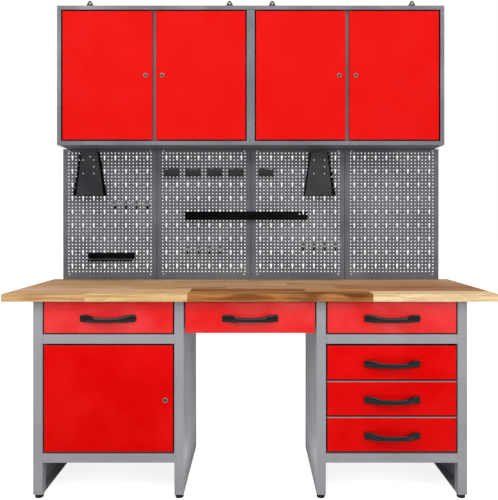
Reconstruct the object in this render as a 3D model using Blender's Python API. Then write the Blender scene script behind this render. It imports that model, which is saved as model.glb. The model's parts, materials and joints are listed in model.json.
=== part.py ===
"""Workbench with two drawer pedestals, a perforated tool wall and two wall cabinets.

Metres, +Z up, +X to the right and +Y towards the wall.  The origin is on the floor,
under the middle of the worktop.  Folded steel sheets are modelled at their thickness.
"""
from math import copysign, cos, pi, radians, sin, sqrt

import bmesh
import bpy
from mathutils import Vector

# ---- driving dimensions -------------------------------------------------------------

GAP = 0.0003             # air between two pieces that touch
SHEET = 0.002            # folded steel sheet
BITE = 0.0002            # how far a welded strip sinks into the sheet that it is welded to

TOP_WIDTH = 1.90
TOP_DEPTH = 0.60
TOP_THICKNESS = 0.030
BENCH_HEIGHT = 0.800
TOP_EDGE_ROUND = 0.002

BASE_HALF = 0.842        # outer faces of the two pedestals
KNEE_HALF = 0.258        # faces of the pedestals towards the kneehole
BASE_FRONT = -0.260
BASE_BACK = 0.240
POST = 0.036             # width of the posts folded from each side panel
POST_RETURN = 0.038      # depth of their inner faces
FOOT_HEIGHT = 0.016
FOOT_RADIUS = 0.0165
FOOT_RIM = 0.0035         # rounding of its lower edge

FLOOR_TOP = 0.1755       # top of the pedestal floor, whose edge is the lower front rail
FLOOR_EDGE = 0.035
BACK_THICKNESS = 0.012
MIDDLE_RAIL_LOW = 0.602
MIDDLE_RAIL_HIGH = 0.638
RAIL_DEPTH = 0.025
REAR_BEAM_FRONT = 0.200
REAR_BEAM_LOW = 0.660
REAR_BEAM_HIGH = 0.765

SHELF_TOP = 0.372
SHELF_EDGE = 0.015
SHELF_FRONT = -0.190
SHELF_LEDGE = 0.012

FRONT_THICKNESS = 0.016  # depth of the folded drawer fronts and doors
SIDE_GAP = 0.006         # gap beside a door or a drawer front
TOP_DRAWER_LOW = 0.641
TOP_DRAWER_HIGH = 0.766
STACK_LOW = 0.182        # the three lower drawers, and the door beside them
STACK_HIGH = 0.5945
STACK_GAP = 0.006

DRAWER_LENGTH = 0.420
DRAWER_SIDE_ROOM = 0.013  # room for a runner on each side of a drawer box
DRAWER_FLOOR_RISE = 0.010
LIP_DROP = 0.020         # from the top of a drawer front down to the lips that carry it
LIP_WIDTH = 0.0095
LIP_CLEARANCE = 0.0005
RUNNER_WIDTH = 0.010
RUNNER_HEIGHT = 0.033

HANDLE_LENGTH = 0.216
HANDLE_PAD_HEIGHT = 0.025
HANDLE_GRIP_HEIGHT = 0.0165
HANDLE_THICKNESS = 0.010
HANDLE_REACH = 0.034     # from the drawer front to the outside of the grip
HANDLE_SINK = 0.002      # handle below the middle of its drawer front
HANDLE_STATIONS = 17
HANDLE_AROUND = 10
HANDLE_END = 0.006       # length over which each end is rounded off
HANDLE_END_SHARE = 0.65  # thickness left at the very end
HANDLE_SQUARENESS = 0.7  # 1 would give an oval section, 0 a box
BOW_START = 0.015        # where the sweep from foot to grip starts, from the end
BOW_LENGTH = 0.042
BOW_CROWN = 0.25         # share of the reach that belongs to the crown of the bow

WALL_PLANE = 0.300
CABINET_WIDTH = 0.88
CABINET_DEPTH = 0.170
CABINET_LOW = 1.425
CABINET_HIGH = 2.058
CABINET_FRAME = 0.018
CABINET_SHELF = 1.700
CABINET_SHELF_FRONT = 0.165
MULLION_HALF = 0.022     # centre strip that the doors lock behind
MULLION_GAP = 0.0005
MEETING_HALF = 0.008     # half the gap between two doors that meet
LUG_INSET = 0.103
LUG_WIDTH = 0.041
LUG_SHOULDER = 2.114
LUG_TOP = 2.1426
LUG_NOSE = 0.009
LUG_HOLE = 0.003
LUG_ROOT = 1.990
LUG_SET_BACK = 0.0008    # lugs stand this far in front of the wall plane
LUG_NOSE_SHOULDER = 25   # degrees above level where the straight sides meet the nose
LUG_NOSE_STEPS = 9

PANEL_WIDTH = 0.45
PANEL_FRONT = 0.275
PANEL_COUNT = 4

PIN_INSET = 0.006        # hinge axis, in from the edge and from the face of a door
PIN_RADIUS = 0.0025
PIN_LENGTH = 0.004
LOCK_INSET = 0.0295      # lock axis, in from the free edge of a door
LOCK_HEAD = 0.010
LOCK_BARREL = 0.008
LOCK_HOLE = 0.0088
LOCK_HEAD_DEPTH = 0.003
CAM_WIDTH = 0.018
CAM_THICKNESS = 0.003
CAM_CLEARANCE = 0.002
BASE_LOCK_HEIGHT = 0.383
WALL_LOCK_HEIGHT = 1.741
BASE_CAM_REACH = 0.048
WALL_CAM_REACH = 0.024

HOLDER_DEPTH = 0.036
HOLDER_TOP = 1.407
HOLDER_BOTTOM = 1.200
HOLDER_TOP_HALF = 0.0445
HOLDER_BOTTOM_HALF = 0.0765
HOLDERS = {"wrench_holder_left": -0.7665, "wrench_holder_right": 0.3265}

RAIL_REACH = 0.030       # how far the tool rails stand off the perforated panels
LONG_RAIL_LOW = 1.085
LONG_RAIL_HIGH = 1.125
LONG_RAILS = {"tool_rail_long_left": (-0.3130, -0.0220), "tool_rail_long_right": (-0.0205, 0.2705)}
SHORT_RAIL_LOW = 0.901
SHORT_RAIL_HIGH = 0.928
SHORT_RAIL_SPAN = (-0.7715, -0.5560)
SHORT_STRIP_LOW = 0.8865
SHORT_STRIP_HIGH = 0.8935
SHORT_STRIP_SHIFT = 0.010
STRIP_BRACKET = 0.012

ROUND_SIDES = 16
PIN_SIDES = 12

# ---- sizes that follow from them ----------------------------------------------------

TOP_UNDERSIDE = BENCH_HEIGHT - TOP_THICKNESS
PANEL_TOP = TOP_UNDERSIDE - GAP                       # upper edge of the side panels
BACK_PANEL_FACE = BASE_BACK - BACK_THICKNESS
POCKET_HALF = (BASE_HALF - KNEE_HALF) / 2 - SHEET     # between the webs of one pedestal
OPENING_HALF = (BASE_HALF - KNEE_HALF) / 2 - POST     # between its posts
PEDESTAL_X = (BASE_HALF + KNEE_HALF) / 2
CABINET_FRONT = WALL_PLANE - CABINET_DEPTH
STACK_STEP = (STACK_HIGH - STACK_LOW + STACK_GAP) / 3

# ---- materials ----------------------------------------------------------------------


def material(name, colour, roughness, metallic=0.0):
    """A plain Principled material; colour is linear RGB."""
    made = bpy.data.materials.new(name)
    made.use_nodes = True
    shader = made.node_tree.nodes["Principled BSDF"]
    shader.inputs["Base Color"].default_value = (*colour, 1.0)
    shader.inputs["Roughness"].default_value = roughness
    shader.inputs["Metallic"].default_value = metallic
    return made


# ---- shapes -------------------------------------------------------------------------


def placed(point, axis, value):
    """A point of an outline, in X, Y, Z order, at the given place along the axis."""
    first, second = point
    return {"X": (value, first, second),
            "Y": (first, value, second),
            "Z": (first, second, value)}[axis]


def solid(name, mesh_builder):
    """Turn a bmesh into an object, with its faces pointing out."""
    bmesh.ops.recalc_face_normals(mesh_builder, faces=mesh_builder.faces)
    mesh = bpy.data.meshes.new(name)
    mesh_builder.to_mesh(mesh)
    mesh_builder.free()
    made = bpy.data.objects.new(name, mesh)
    bpy.context.scene.collection.objects.link(made)
    return made


def push(builder, face, offset, keep=False):
    """Extrude one face by an offset and return the moved face; keep leaves the first one."""
    grown = bmesh.ops.extrude_face_region(builder, geom=[face])["geom"]
    corners = [item for item in grown if isinstance(item, bmesh.types.BMVert)]
    bmesh.ops.translate(builder, verts=corners, vec=Vector(offset))
    if not keep:
        bmesh.ops.delete(builder, geom=[face], context="FACES_ONLY")
    return next(item for item in grown if isinstance(item, bmesh.types.BMFace))


def prism_builder(outline, axis, start, end):
    """An outline carried along an axis, as a bmesh and its face at the far end."""
    builder = bmesh.new()
    ring = [builder.verts.new(placed(point, axis, start)) for point in outline]
    far = push(builder, builder.faces.new(ring), placed((0, 0), axis, end - start), keep=True)
    return builder, far


def prism(name, outline, axis, start, end):
    return solid(name, prism_builder(outline, axis, start, end)[0])


def rectangle(low, high):
    return [(low[0], low[1]), (high[0], low[1]), (high[0], high[1]), (low[0], high[1])]


def block(name, low, high):
    return prism(name, rectangle(low, high), "Z", low[2], high[2])


def tray(name, outline, axis, closed_end, open_end):
    """A sheet tray: an outline with a skirt all round, open at one end."""
    builder, mouth = prism_builder(outline, axis, closed_end, open_end)
    bmesh.ops.recalc_face_normals(builder, faces=builder.faces)
    bmesh.ops.inset_region(builder, faces=[mouth], thickness=SHEET, use_even_offset=True)
    depth = open_end - closed_end
    depth -= SHEET if depth > 0 else -SHEET
    push(builder, mouth, placed((0, 0), axis, -depth))
    return solid(name, builder)


def round_outline(centre, radius, sides, start=0.0, sweep=2 * pi):
    """Points of an arc, or of a whole circle when the sweep is a full turn."""
    steps = sides if sweep >= 2 * pi else sides - 1
    turns = [start + sweep * step / steps for step in range(sides)]
    return [(centre[0] + radius * cos(turn), centre[1] + radius * sin(turn)) for turn in turns]


def rod(name, centre, radius, axis, start, end, sides=ROUND_SIDES):
    return prism(name, round_outline(centre, radius, sides), axis, start, end)


def combine(target, tool, operation):
    """Weld a tool to the target (UNION) or cut it away (DIFFERENCE), and drop the tool."""
    step = target.modifiers.new("step", "BOOLEAN")
    step.operation = operation
    step.solver = "EXACT"
    step.object = tool
    graph = bpy.context.evaluated_depsgraph_get()
    result = bpy.data.meshes.new_from_object(target.evaluated_get(graph))
    target.modifiers.remove(step)
    spent = target.data
    target.data = result
    bpy.data.meshes.remove(spent)
    bpy.data.objects.remove(tool)
    return target


def weld(target, tool):
    return combine(target, tool, "UNION")


def cut(target, tool):
    return combine(target, tool, "DIFFERENCE")


def finish(piece, surface, smooth=False):
    """Give a piece its material and its shading, and its mesh the piece's name."""
    piece.data.name = piece.name
    piece.data.materials.clear()
    piece.data.materials.append(surface)
    if smooth:
        piece.data.shade_smooth()
        piece.data.set_sharp_from_angle(angle=radians(35))
    return piece


def joint_axis(name, place):
    """An empty on the axis of a joint, which its moving pieces are parented to."""
    empty = bpy.data.objects.new(name, None)
    empty.location = place
    bpy.context.scene.collection.objects.link(empty)
    return empty


def hang(pieces, empty):
    """Parent pieces, modelled in place, to the empty and move their origins onto it."""
    for piece in pieces:
        for vertex in piece.data.vertices:
            vertex.co -= empty.location
        piece.parent = empty


# ---- pedestals ----------------------------------------------------------------------


def runner(face_x, away, ledge_top, back):
    """An L-shaped drawer runner on the face at face_x; away is its way off that face."""
    outline = [
        (face_x - away * BITE, ledge_top),
        (face_x + away * RUNNER_WIDTH, ledge_top),
        (face_x + away * RUNNER_WIDTH, ledge_top - SHEET),
        (face_x + away * SHEET, ledge_top - SHEET),
        (face_x + away * SHEET, ledge_top - RUNNER_HEIGHT),
        (face_x - away * BITE, ledge_top - RUNNER_HEIGHT),
    ]
    front = BASE_FRONT + FRONT_THICKNESS + SHEET / 2
    return prism("runner", outline, "Y", front, back)


def ledge_height(front_high):
    """Top of the runners that carry the drawer whose front ends at front_high."""
    return front_high - LIP_DROP - LIP_CLEARANCE


def side_panel(name, web_x, inward, inner_fronts, knee_fronts, shelf, surface):
    """One folded side: a web, a post at each end, edges above and below, and its runners.

    web_x is the outer face of the web and inward points into the pedestal.  inner_fronts
    and knee_fronts are the upper edges of the drawer fronts served on each face.
    """
    mouth_x = web_x + inward * POST
    panel = block(name,
                  (min(web_x, mouth_x), BASE_FRONT, FOOT_HEIGHT),
                  (max(web_x, mouth_x), BASE_BACK, PANEL_TOP))
    web_face = web_x + inward * SHEET
    post_face = web_x + inward * (POST - SHEET)
    beyond = web_x + inward * 2 * POST      # past the mouth, so that the cut is open
    front, back = BASE_FRONT, BASE_BACK
    pocket = [
        (web_face, front + SHEET), (post_face, front + SHEET),
        (post_face, front + POST_RETURN), (beyond, front + POST_RETURN),
        (beyond, back - POST_RETURN), (post_face, back - POST_RETURN),
        (post_face, back - SHEET), (web_face, back - SHEET),
    ]
    cut(panel, prism("pocket", pocket, "Z", FOOT_HEIGHT + SHEET, PANEL_TOP - SHEET))
    for front_high in inner_fronts:
        weld(panel, runner(mouth_x, inward, ledge_height(front_high), BACK_PANEL_FACE - SHEET))
    for front_high in knee_fronts:
        weld(panel, runner(web_x, -inward, ledge_height(front_high), REAR_BEAM_FRONT - SHEET))
    if shelf:
        ledge_x = web_face + inward * SHELF_LEDGE
        root_x = web_face - inward * BITE
        under = SHELF_TOP - SHELF_EDGE - GAP
        weld(panel, block("ledge",
                          (min(root_x, ledge_x), SHELF_FRONT + SHELF_EDGE, under - SHEET),
                          (max(root_x, ledge_x), BASE_BACK - 2 * POST_RETURN, under)))
    return finish(panel, surface)


def pedestal_floor(name, centre_x, surface):
    """Floor with its edges folded down; the front edge is the lower rail."""
    narrow = OPENING_HALF - GAP
    wide = POCKET_HALF - GAP
    front = BASE_FRONT
    post_front = BASE_FRONT + POST_RETURN + GAP
    post_back = BASE_BACK - POST_RETURN - GAP
    back = BACK_PANEL_FACE - GAP
    right = [(narrow, front), (narrow, post_front), (wide, post_front),
             (wide, post_back), (narrow, post_back), (narrow, back)]
    left = [(-x, y) for x, y in reversed(right)]
    outline = [(centre_x + x, y) for x, y in right + left]
    return finish(tray(name, outline, "Z", FLOOR_TOP, FLOOR_TOP - FLOOR_EDGE), surface)


def middle_rail(name, centre_x, surface):
    """C-shaped rail under the top drawer, open to the back."""
    low, high = MIDDLE_RAIL_LOW, MIDDLE_RAIL_HIGH
    outline = c_section(BASE_FRONT, BASE_FRONT + RAIL_DEPTH, low, high)
    reach = OPENING_HALF - GAP
    return finish(prism(name, outline, "X", centre_x - reach, centre_x + reach), surface)


def c_section(front, back, low, high):
    """Outline in Y and Z of a folded channel that is open to the back."""
    return [(front, low), (back, low), (back, low + SHEET), (front + SHEET, low + SHEET),
            (front + SHEET, high - SHEET), (back, high - SHEET), (back, high), (front, high)]


def back_panel(name, centre_x, surface):
    """Sheet that closes a pedestal between its rear posts."""
    reach = OPENING_HALF - GAP
    outline = rectangle((centre_x - reach, FLOOR_TOP - FLOOR_EDGE), (centre_x + reach, PANEL_TOP))
    return finish(tray(name, outline, "Y", BASE_BACK, BACK_PANEL_FACE), surface)


def rear_beam(surface):
    """Channel that ties the two pedestals together behind the centre drawer."""
    outline = c_section(REAR_BEAM_FRONT, REAR_BEAM_FRONT + RAIL_DEPTH,
                        REAR_BEAM_LOW, REAR_BEAM_HIGH)
    reach = KNEE_HALF - GAP
    return finish(prism("rear_beam", outline, "X", -reach, reach), surface)


def inner_shelf(surface):
    """Loose shelf behind the base door, resting on ledges of the side panels."""
    reach = POCKET_HALF - GAP
    outline = rectangle((-PEDESTAL_X - reach, SHELF_FRONT),
                        (-PEDESTAL_X + reach, BASE_BACK - POST_RETURN - GAP))
    return finish(tray("shelf_left", outline, "Z", SHELF_TOP, SHELF_TOP - SHELF_EDGE), surface)


def foot(name, x, y, surface):
    """Turned plastic glider under a post, with a rounded lower rim."""
    profile = [(0.0, 0.0), (FOOT_RADIUS - FOOT_RIM, 0.0)]
    profile += [(FOOT_RADIUS - FOOT_RIM + FOOT_RIM * sin(turn), FOOT_RIM - FOOT_RIM * cos(turn))
                for turn in (pi / 4, pi / 2)]
    profile += [(FOOT_RADIUS, FOOT_HEIGHT - GAP), (0.0, FOOT_HEIGHT - GAP)]
    builder = bmesh.new()
    verts = [builder.verts.new((x + radius, y, z)) for radius, z in profile]
    edges = [builder.edges.new(pair) for pair in zip(verts, verts[1:])]
    bmesh.ops.spin(builder, geom=verts + edges, cent=(x, y, 0.0), axis=(0, 0, 1),
                   angle=2 * pi, steps=ROUND_SIDES)
    bmesh.ops.remove_doubles(builder, verts=builder.verts, dist=GAP / 10)
    return finish(solid(name, builder), surface, smooth=True)


# ---- drawers ------------------------------------------------------------------------


def smooth_step(value):
    """0 below 0, 1 above 1, and a smooth rise between them."""
    value = min(max(value, 0.0), 1.0)
    return value * value * (3 - 2 * value)


def handle(name, centre_x, centre_z, surface):
    """Bow handle, lofted along X: flat feet that sweep out into a slimmer grip."""
    half = HANDLE_LENGTH / 2
    face = BASE_FRONT - GAP
    builder = bmesh.new()
    rings = []
    for step in range(HANDLE_STATIONS):
        x = half * sin(pi / 2 * (2 * step / (HANDLE_STATIONS - 1) - 1))
        inset = half - abs(x)
        rise = smooth_step((inset - BOW_START) / BOW_LENGTH)
        bow = rise * (1 - BOW_CROWN + BOW_CROWN * sqrt(inset / half))
        end = HANDLE_END_SHARE + (1 - HANDLE_END_SHARE) * smooth_step(inset / HANDLE_END)
        tall = (HANDLE_PAD_HEIGHT + (HANDLE_GRIP_HEIGHT - HANDLE_PAD_HEIGHT) * rise) / 2 * end
        deep = HANDLE_THICKNESS / 2 * end
        centre_y = face - deep - (HANDLE_REACH - HANDLE_THICKNESS) * bow
        ring = []
        for side in range(HANDLE_AROUND):
            turn = 2 * pi * (side + 0.5) / HANDLE_AROUND
            lean = [copysign(abs(value) ** HANDLE_SQUARENESS, value)
                    for value in (cos(turn), sin(turn))]
            ring.append(builder.verts.new((centre_x + x, centre_y + deep * lean[0],
                                           centre_z + tall * lean[1])))
        rings.append(ring)
    for ring, following in zip(rings, rings[1:]):
        for side in range(HANDLE_AROUND):
            after = (side + 1) % HANDLE_AROUND
            builder.faces.new((ring[side], ring[after], following[after], following[side]))
    builder.faces.new(rings[0])
    builder.faces.new(rings[-1])
    return finish(solid(name, builder), surface, smooth=True)


def drawer(label, centre_x, opening_half, low, high, surfaces):
    """A sheet-metal drawer: box with carrying lips, folded front and bow handle."""
    front_half = opening_half - SIDE_GAP
    outline = rectangle((centre_x - front_half, low), (centre_x + front_half, high))
    face = tray("drawer_front_" + label, outline, "Y", BASE_FRONT, BASE_FRONT + FRONT_THICKNESS)
    finish(face, surfaces["red"])

    box_half = opening_half - DRAWER_SIDE_ROOM
    box_front = BASE_FRONT + FRONT_THICKNESS + GAP
    outline = rectangle((centre_x - box_half, box_front),
                        (centre_x + box_half, box_front + DRAWER_LENGTH))
    lip_low = high - LIP_DROP
    rim = lip_low + SHEET + BITE
    box = tray("drawer_box_" + label, outline, "Z", low + DRAWER_FLOOR_RISE, rim)
    for side in (-1, 1):
        inner_x = centre_x + side * (box_half - BITE)
        outer_x = centre_x + side * (box_half + LIP_WIDTH)
        weld(box, block("lip",
                        (min(inner_x, outer_x), box_front + BITE, lip_low),
                        (max(inner_x, outer_x), box_front + DRAWER_LENGTH - BITE, lip_low + SHEET)))
    finish(box, surfaces["grey"])

    middle = (low + high) / 2
    grip = handle("drawer_handle_" + label, centre_x, middle - HANDLE_SINK, surfaces["black"])
    hang((face, box, grip), joint_axis("slide_" + label, (centre_x, BASE_FRONT, middle)))


# ---- doors and locks ----------------------------------------------------------------


def door(name, hinge_edge, free_edge, low, high, front, lock_x, lock_z, surface):
    """Folded door with hinge pins at its upper and lower edge and a hole for its lock."""
    outline = rectangle((min(hinge_edge, free_edge), low), (max(hinge_edge, free_edge), high))
    leaf = tray(name, outline, "Y", front, front + FRONT_THICKNESS)
    cut(leaf, rod("hole", (lock_x, lock_z), LOCK_HOLE, "Y", front - SHEET, front + 2 * SHEET))
    pin_x, pin_y = hinge_point(hinge_edge, free_edge, front)
    for start, end in ((low - PIN_LENGTH, low + SHEET / 2), (high - SHEET / 2, high + PIN_LENGTH)):
        weld(leaf, rod("pin", (pin_x, pin_y), PIN_RADIUS, "Z", start, end, PIN_SIDES))
    finish(leaf, surface)
    hang((leaf,), joint_axis(name + "_hinge", (pin_x, pin_y, (low + high) / 2)))


def hinge_point(hinge_edge, free_edge, front):
    inward = 1 if free_edge > hinge_edge else -1
    return hinge_edge + inward * PIN_INSET, front + PIN_INSET


def lock(name, x, z, front, cam_face, reach, surface):
    """Cam lock: a round head, a barrel through the door and a cam that hangs down at rest."""
    half = CAM_WIDTH / 2
    body = rod(name, (x, z), LOCK_HEAD, "Y", front - LOCK_HEAD_DEPTH, front - GAP)
    weld(body, rod("barrel", (x, z), LOCK_BARREL, "Y",
                   front - LOCK_HEAD_DEPTH / 2, cam_face + CAM_THICKNESS / 2))
    cam = round_outline((x, z), half, PIN_SIDES, 0.0, pi)
    cam += round_outline((x, z - reach + half), half, PIN_SIDES, pi, pi)
    weld(body, prism("cam", cam, "Y", cam_face, cam_face + CAM_THICKNESS))
    finish(body, surface, smooth=True)
    hang((body,), joint_axis(name + "_turn", (x, front, z)))


def base_door(surfaces):
    """The door of the left pedestal; it hinges on its outer edge."""
    hinge_edge = -PEDESTAL_X - OPENING_HALF + SIDE_GAP
    free_edge = -PEDESTAL_X + OPENING_HALF - SIDE_GAP
    lock_x = free_edge - LOCK_INSET
    door("base_door", hinge_edge, free_edge, STACK_LOW, STACK_HIGH, BASE_FRONT,
         lock_x, BASE_LOCK_HEIGHT, surfaces["red"])
    cam_face = BASE_FRONT + POST_RETURN + CAM_CLEARANCE
    lock("base_door_lock", lock_x, BASE_LOCK_HEIGHT, BASE_FRONT, cam_face, BASE_CAM_REACH,
         surfaces["chrome"])


def wall_doors(cabinet_x, first, surfaces):
    """The pair of doors of one wall cabinet, each hinged on its outer edge."""
    low = CABINET_LOW + CABINET_FRAME + SIDE_GAP
    high = CABINET_HIGH - CABINET_FRAME - SIDE_GAP
    outer = CABINET_WIDTH / 2 - CABINET_FRAME - SIDE_GAP
    mullion_front = CABINET_FRONT + FRONT_THICKNESS + MULLION_GAP
    cam_face = mullion_front + SHEET + CAM_CLEARANCE
    for number, side in ((first, -1), (first + 1, 1)):
        lock_x = cabinet_x + side * (MEETING_HALF + LOCK_INSET)
        door(f"wall_door_{number}", cabinet_x + side * outer, cabinet_x + side * MEETING_HALF,
             low, high, CABINET_FRONT, lock_x, WALL_LOCK_HEIGHT, surfaces["red"])
        lock(f"wall_lock_{number}", lock_x, WALL_LOCK_HEIGHT, CABINET_FRONT, cam_face,
             WALL_CAM_REACH, surfaces["chrome"])


# ---- wall unit ----------------------------------------------------------------------


def cabinet_shell(name, low, high):
    """Box with a front frame, hollow behind it."""
    builder, _ = prism_builder(rectangle(low, high), "Z", low[2], high[2])
    builder.faces.ensure_lookup_table()
    bmesh.ops.recalc_face_normals(builder, faces=builder.faces)
    front = min(builder.faces, key=lambda face: face.calc_center_median().y)
    bmesh.ops.inset_region(builder, faces=[front], thickness=CABINET_FRAME, use_even_offset=True)
    lip = push(builder, front, (0, SHEET, 0))
    widened = push(builder, lip, (0, 0, 0))
    middle = widened.calc_center_median()
    for corner in widened.verts:
        corner.co.x = low[0] + SHEET if corner.co.x < middle.x else high[0] - SHEET
        corner.co.z = low[2] + SHEET if corner.co.z < middle.z else high[2] - SHEET
    push(builder, widened, (0, CABINET_DEPTH - 2 * SHEET, 0))
    return solid(name, builder)


def lug_outline(x):
    """Hanging lug in X and Z: a strap whose top narrows to a round nose."""
    half = LUG_WIDTH / 2
    nose = (x, LUG_TOP - LUG_NOSE)
    points = [(x - half, LUG_ROOT), (x + half, LUG_ROOT), (x + half, LUG_SHOULDER)]
    points += round_outline(nose, LUG_NOSE, LUG_NOSE_STEPS, radians(LUG_NOSE_SHOULDER),
                            pi - 2 * radians(LUG_NOSE_SHOULDER))
    points.append((x - half, LUG_SHOULDER))
    return points


def wall_cabinet(name, centre_x, surface):
    """Cabinet body with a shelf, the centre strip between its doors and two hanging lugs."""
    half = CABINET_WIDTH / 2 - GAP / 2
    low = (centre_x - half, CABINET_FRONT, CABINET_LOW)
    high = (centre_x + half, WALL_PLANE, CABINET_HIGH)
    shell = cabinet_shell(name, low, high)
    strip_front = CABINET_FRONT + FRONT_THICKNESS + MULLION_GAP
    weld(shell, block("strip",
                      (centre_x - MULLION_HALF, strip_front, low[2] + SHEET - BITE),
                      (centre_x + MULLION_HALF, strip_front + SHEET, high[2] - SHEET + BITE)))
    weld(shell, block("shelf",
                      (low[0] + SHEET - BITE, CABINET_SHELF_FRONT, CABINET_SHELF),
                      (high[0] - SHEET + BITE, WALL_PLANE - SHEET + BITE, CABINET_SHELF + SHEET)))
    lug_back = WALL_PLANE - LUG_SET_BACK
    for side in (-1, 1):
        lug_x = centre_x + side * (CABINET_WIDTH / 2 - LUG_INSET)
        lug = prism("lug", lug_outline(lug_x), "Y", lug_back - SHEET, lug_back)
        hole = (lug_x, LUG_TOP - LUG_NOSE - LUG_HOLE)
        cut(lug, rod("hole", hole, LUG_HOLE, "Y", lug_back - 2 * SHEET, lug_back + SHEET))
        weld(shell, lug)
    return finish(shell, surface)


def pegboard(number, surface):
    """Perforated panel with its edges folded back to the wall; its holes are left plain."""
    left = (number - PANEL_COUNT / 2) * PANEL_WIDTH
    outline = rectangle((left + GAP / 2, BENCH_HEIGHT + GAP),
                        (left + PANEL_WIDTH - GAP / 2, CABINET_LOW - GAP))
    return finish(tray(f"pegboard_{number + 1}", outline, "Y", PANEL_FRONT, WALL_PLANE), surface)


def wrench_holder(name, centre_x, surface):
    """Trapezoid holder, a front plate with sides folded back to the panel."""
    outline = [(centre_x - HOLDER_BOTTOM_HALF, HOLDER_BOTTOM),
               (centre_x + HOLDER_BOTTOM_HALF, HOLDER_BOTTOM),
               (centre_x + HOLDER_TOP_HALF, HOLDER_TOP),
               (centre_x - HOLDER_TOP_HALF, HOLDER_TOP)]
    back = PANEL_FRONT - GAP
    return finish(tray(name, outline, "Y", back - HOLDER_DEPTH, back), surface)


def u_section(low, high):
    """Outline in Y and Z of a tool rail: a trough that is open at the top."""
    back = PANEL_FRONT - GAP
    front = back - RAIL_REACH
    return [(front, low), (back, low), (back, high), (back - SHEET, high),
            (back - SHEET, low + SHEET), (front + SHEET, low + SHEET),
            (front + SHEET, high), (front, high)]


def tool_rails(surface):
    """The long rail, in two lengths that meet, and the short rail with its lower strip."""
    for name, (left, right) in LONG_RAILS.items():
        finish(prism(name, u_section(LONG_RAIL_LOW, LONG_RAIL_HIGH), "X", left, right), surface)
    left, right = SHORT_RAIL_SPAN
    short = prism("tool_rail_short", u_section(SHORT_RAIL_LOW, SHORT_RAIL_HIGH), "X", left, right)
    back = PANEL_FRONT - GAP
    front = back - RAIL_REACH
    strip = block("strip", (left - SHORT_STRIP_SHIFT, front, SHORT_STRIP_LOW),
                  (right - SHORT_STRIP_SHIFT, front + SHEET, SHORT_STRIP_HIGH))
    for x in (left, right - SHORT_STRIP_SHIFT - STRIP_BRACKET):
        weld(strip, block("bracket", (x + BITE, front + BITE, SHORT_STRIP_LOW + BITE),
                          (x + STRIP_BRACKET - BITE, front + SHEET + BITE, SHORT_RAIL_LOW + BITE)))
    finish(weld(short, strip), surface)


# ---- the whole object ---------------------------------------------------------------


def worktop(surface):
    """Solid wood top with slightly rounded edges."""
    half_w, half_d = TOP_WIDTH / 2, TOP_DEPTH / 2
    top = block("worktop", (-half_w, -half_d, TOP_UNDERSIDE), (half_w, half_d, BENCH_HEIGHT))
    edge = top.modifiers.new("edge", "BEVEL")
    edge.width = TOP_EDGE_ROUND
    edge.segments = 2
    return finish(top, surface)


def build_pedestals(surfaces):
    grey = surfaces["grey"]
    stack = [STACK_HIGH - STACK_STEP * row for row in range(3)]
    top = [TOP_DRAWER_HIGH]
    side_panel("side_panel_left_outer", -BASE_HALF, 1, top, [], True, grey)
    side_panel("side_panel_left_inner", -KNEE_HALF, -1, top, top, True, grey)
    side_panel("side_panel_right_inner", KNEE_HALF, 1, top + stack, top, False, grey)
    side_panel("side_panel_right_outer", BASE_HALF, -1, top + stack, [], False, grey)
    for side, centre_x in (("left", -PEDESTAL_X), ("right", PEDESTAL_X)):
        pedestal_floor("floor_" + side, centre_x, grey)
        middle_rail("middle_rail_" + side, centre_x, grey)
        back_panel("back_panel_" + side, centre_x, grey)
    inner_shelf(grey)
    rear_beam(grey)
    posts = (-BASE_HALF + POST / 2, -KNEE_HALF - POST / 2, KNEE_HALF + POST / 2, BASE_HALF - POST / 2)
    rows = (("front", BASE_FRONT + POST_RETURN / 2), ("rear", BASE_BACK - POST_RETURN / 2))
    for number, x in enumerate(posts, start=1):
        for row, y in rows:
            foot(f"foot_{number}_{row}", x, y, surfaces["black"])


def build_drawers(surfaces):
    top = (TOP_DRAWER_LOW, TOP_DRAWER_HIGH)
    drawer("left_top", -PEDESTAL_X, OPENING_HALF, *top, surfaces)
    drawer("centre", 0.0, KNEE_HALF, *top, surfaces)
    drawer("right_top", PEDESTAL_X, OPENING_HALF, *top, surfaces)
    for row in range(3):
        high = STACK_HIGH - STACK_STEP * row
        low = high - STACK_STEP + STACK_GAP
        drawer(f"right_{row + 2}", PEDESTAL_X, OPENING_HALF, low, high, surfaces)


def build_wall_unit(surfaces):
    for number in range(PANEL_COUNT):
        pegboard(number, surfaces["slate"])
    for side, sign, first in (("left", -1, 1), ("right", 1, 3)):
        centre_x = sign * CABINET_WIDTH / 2
        wall_cabinet("wall_cabinet_" + side, centre_x, surfaces["slate"])
        wall_doors(centre_x, first, surfaces)
    for name, centre_x in HOLDERS.items():
        wrench_holder(name, centre_x, surfaces["black"])
    tool_rails(surfaces["black"])


def main():
    for old in list(bpy.data.objects):
        bpy.data.objects.remove(old)
    surfaces = {
        "red": material("red_enamel", (0.70, 0.015, 0.012), 0.4),
        "grey": material("light_grey_enamel", (0.34, 0.35, 0.37), 0.45),
        "slate": material("slate_grey_enamel", (0.15, 0.15, 0.165), 0.45),
        "black": material("black_plastic", (0.02, 0.02, 0.022), 0.45),
        "chrome": material("nickel_plate", (0.60, 0.60, 0.58), 0.25, 1.0),
        "wood": material("glued_beech", (0.50, 0.32, 0.18), 0.55),
    }
    worktop(surfaces["wood"])
    build_pedestals(surfaces)
    build_drawers(surfaces)
    base_door(surfaces)
    build_wall_unit(surfaces)


main()
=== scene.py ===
"""Looks of the workbench with drawers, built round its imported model.

Metres, +Z up, the front is -Y.  Pieces that replace a part of the model sit where it sits.
"""
import json
import random
from math import atan2, copysign, cos, pi, radians, sin, sqrt

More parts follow.
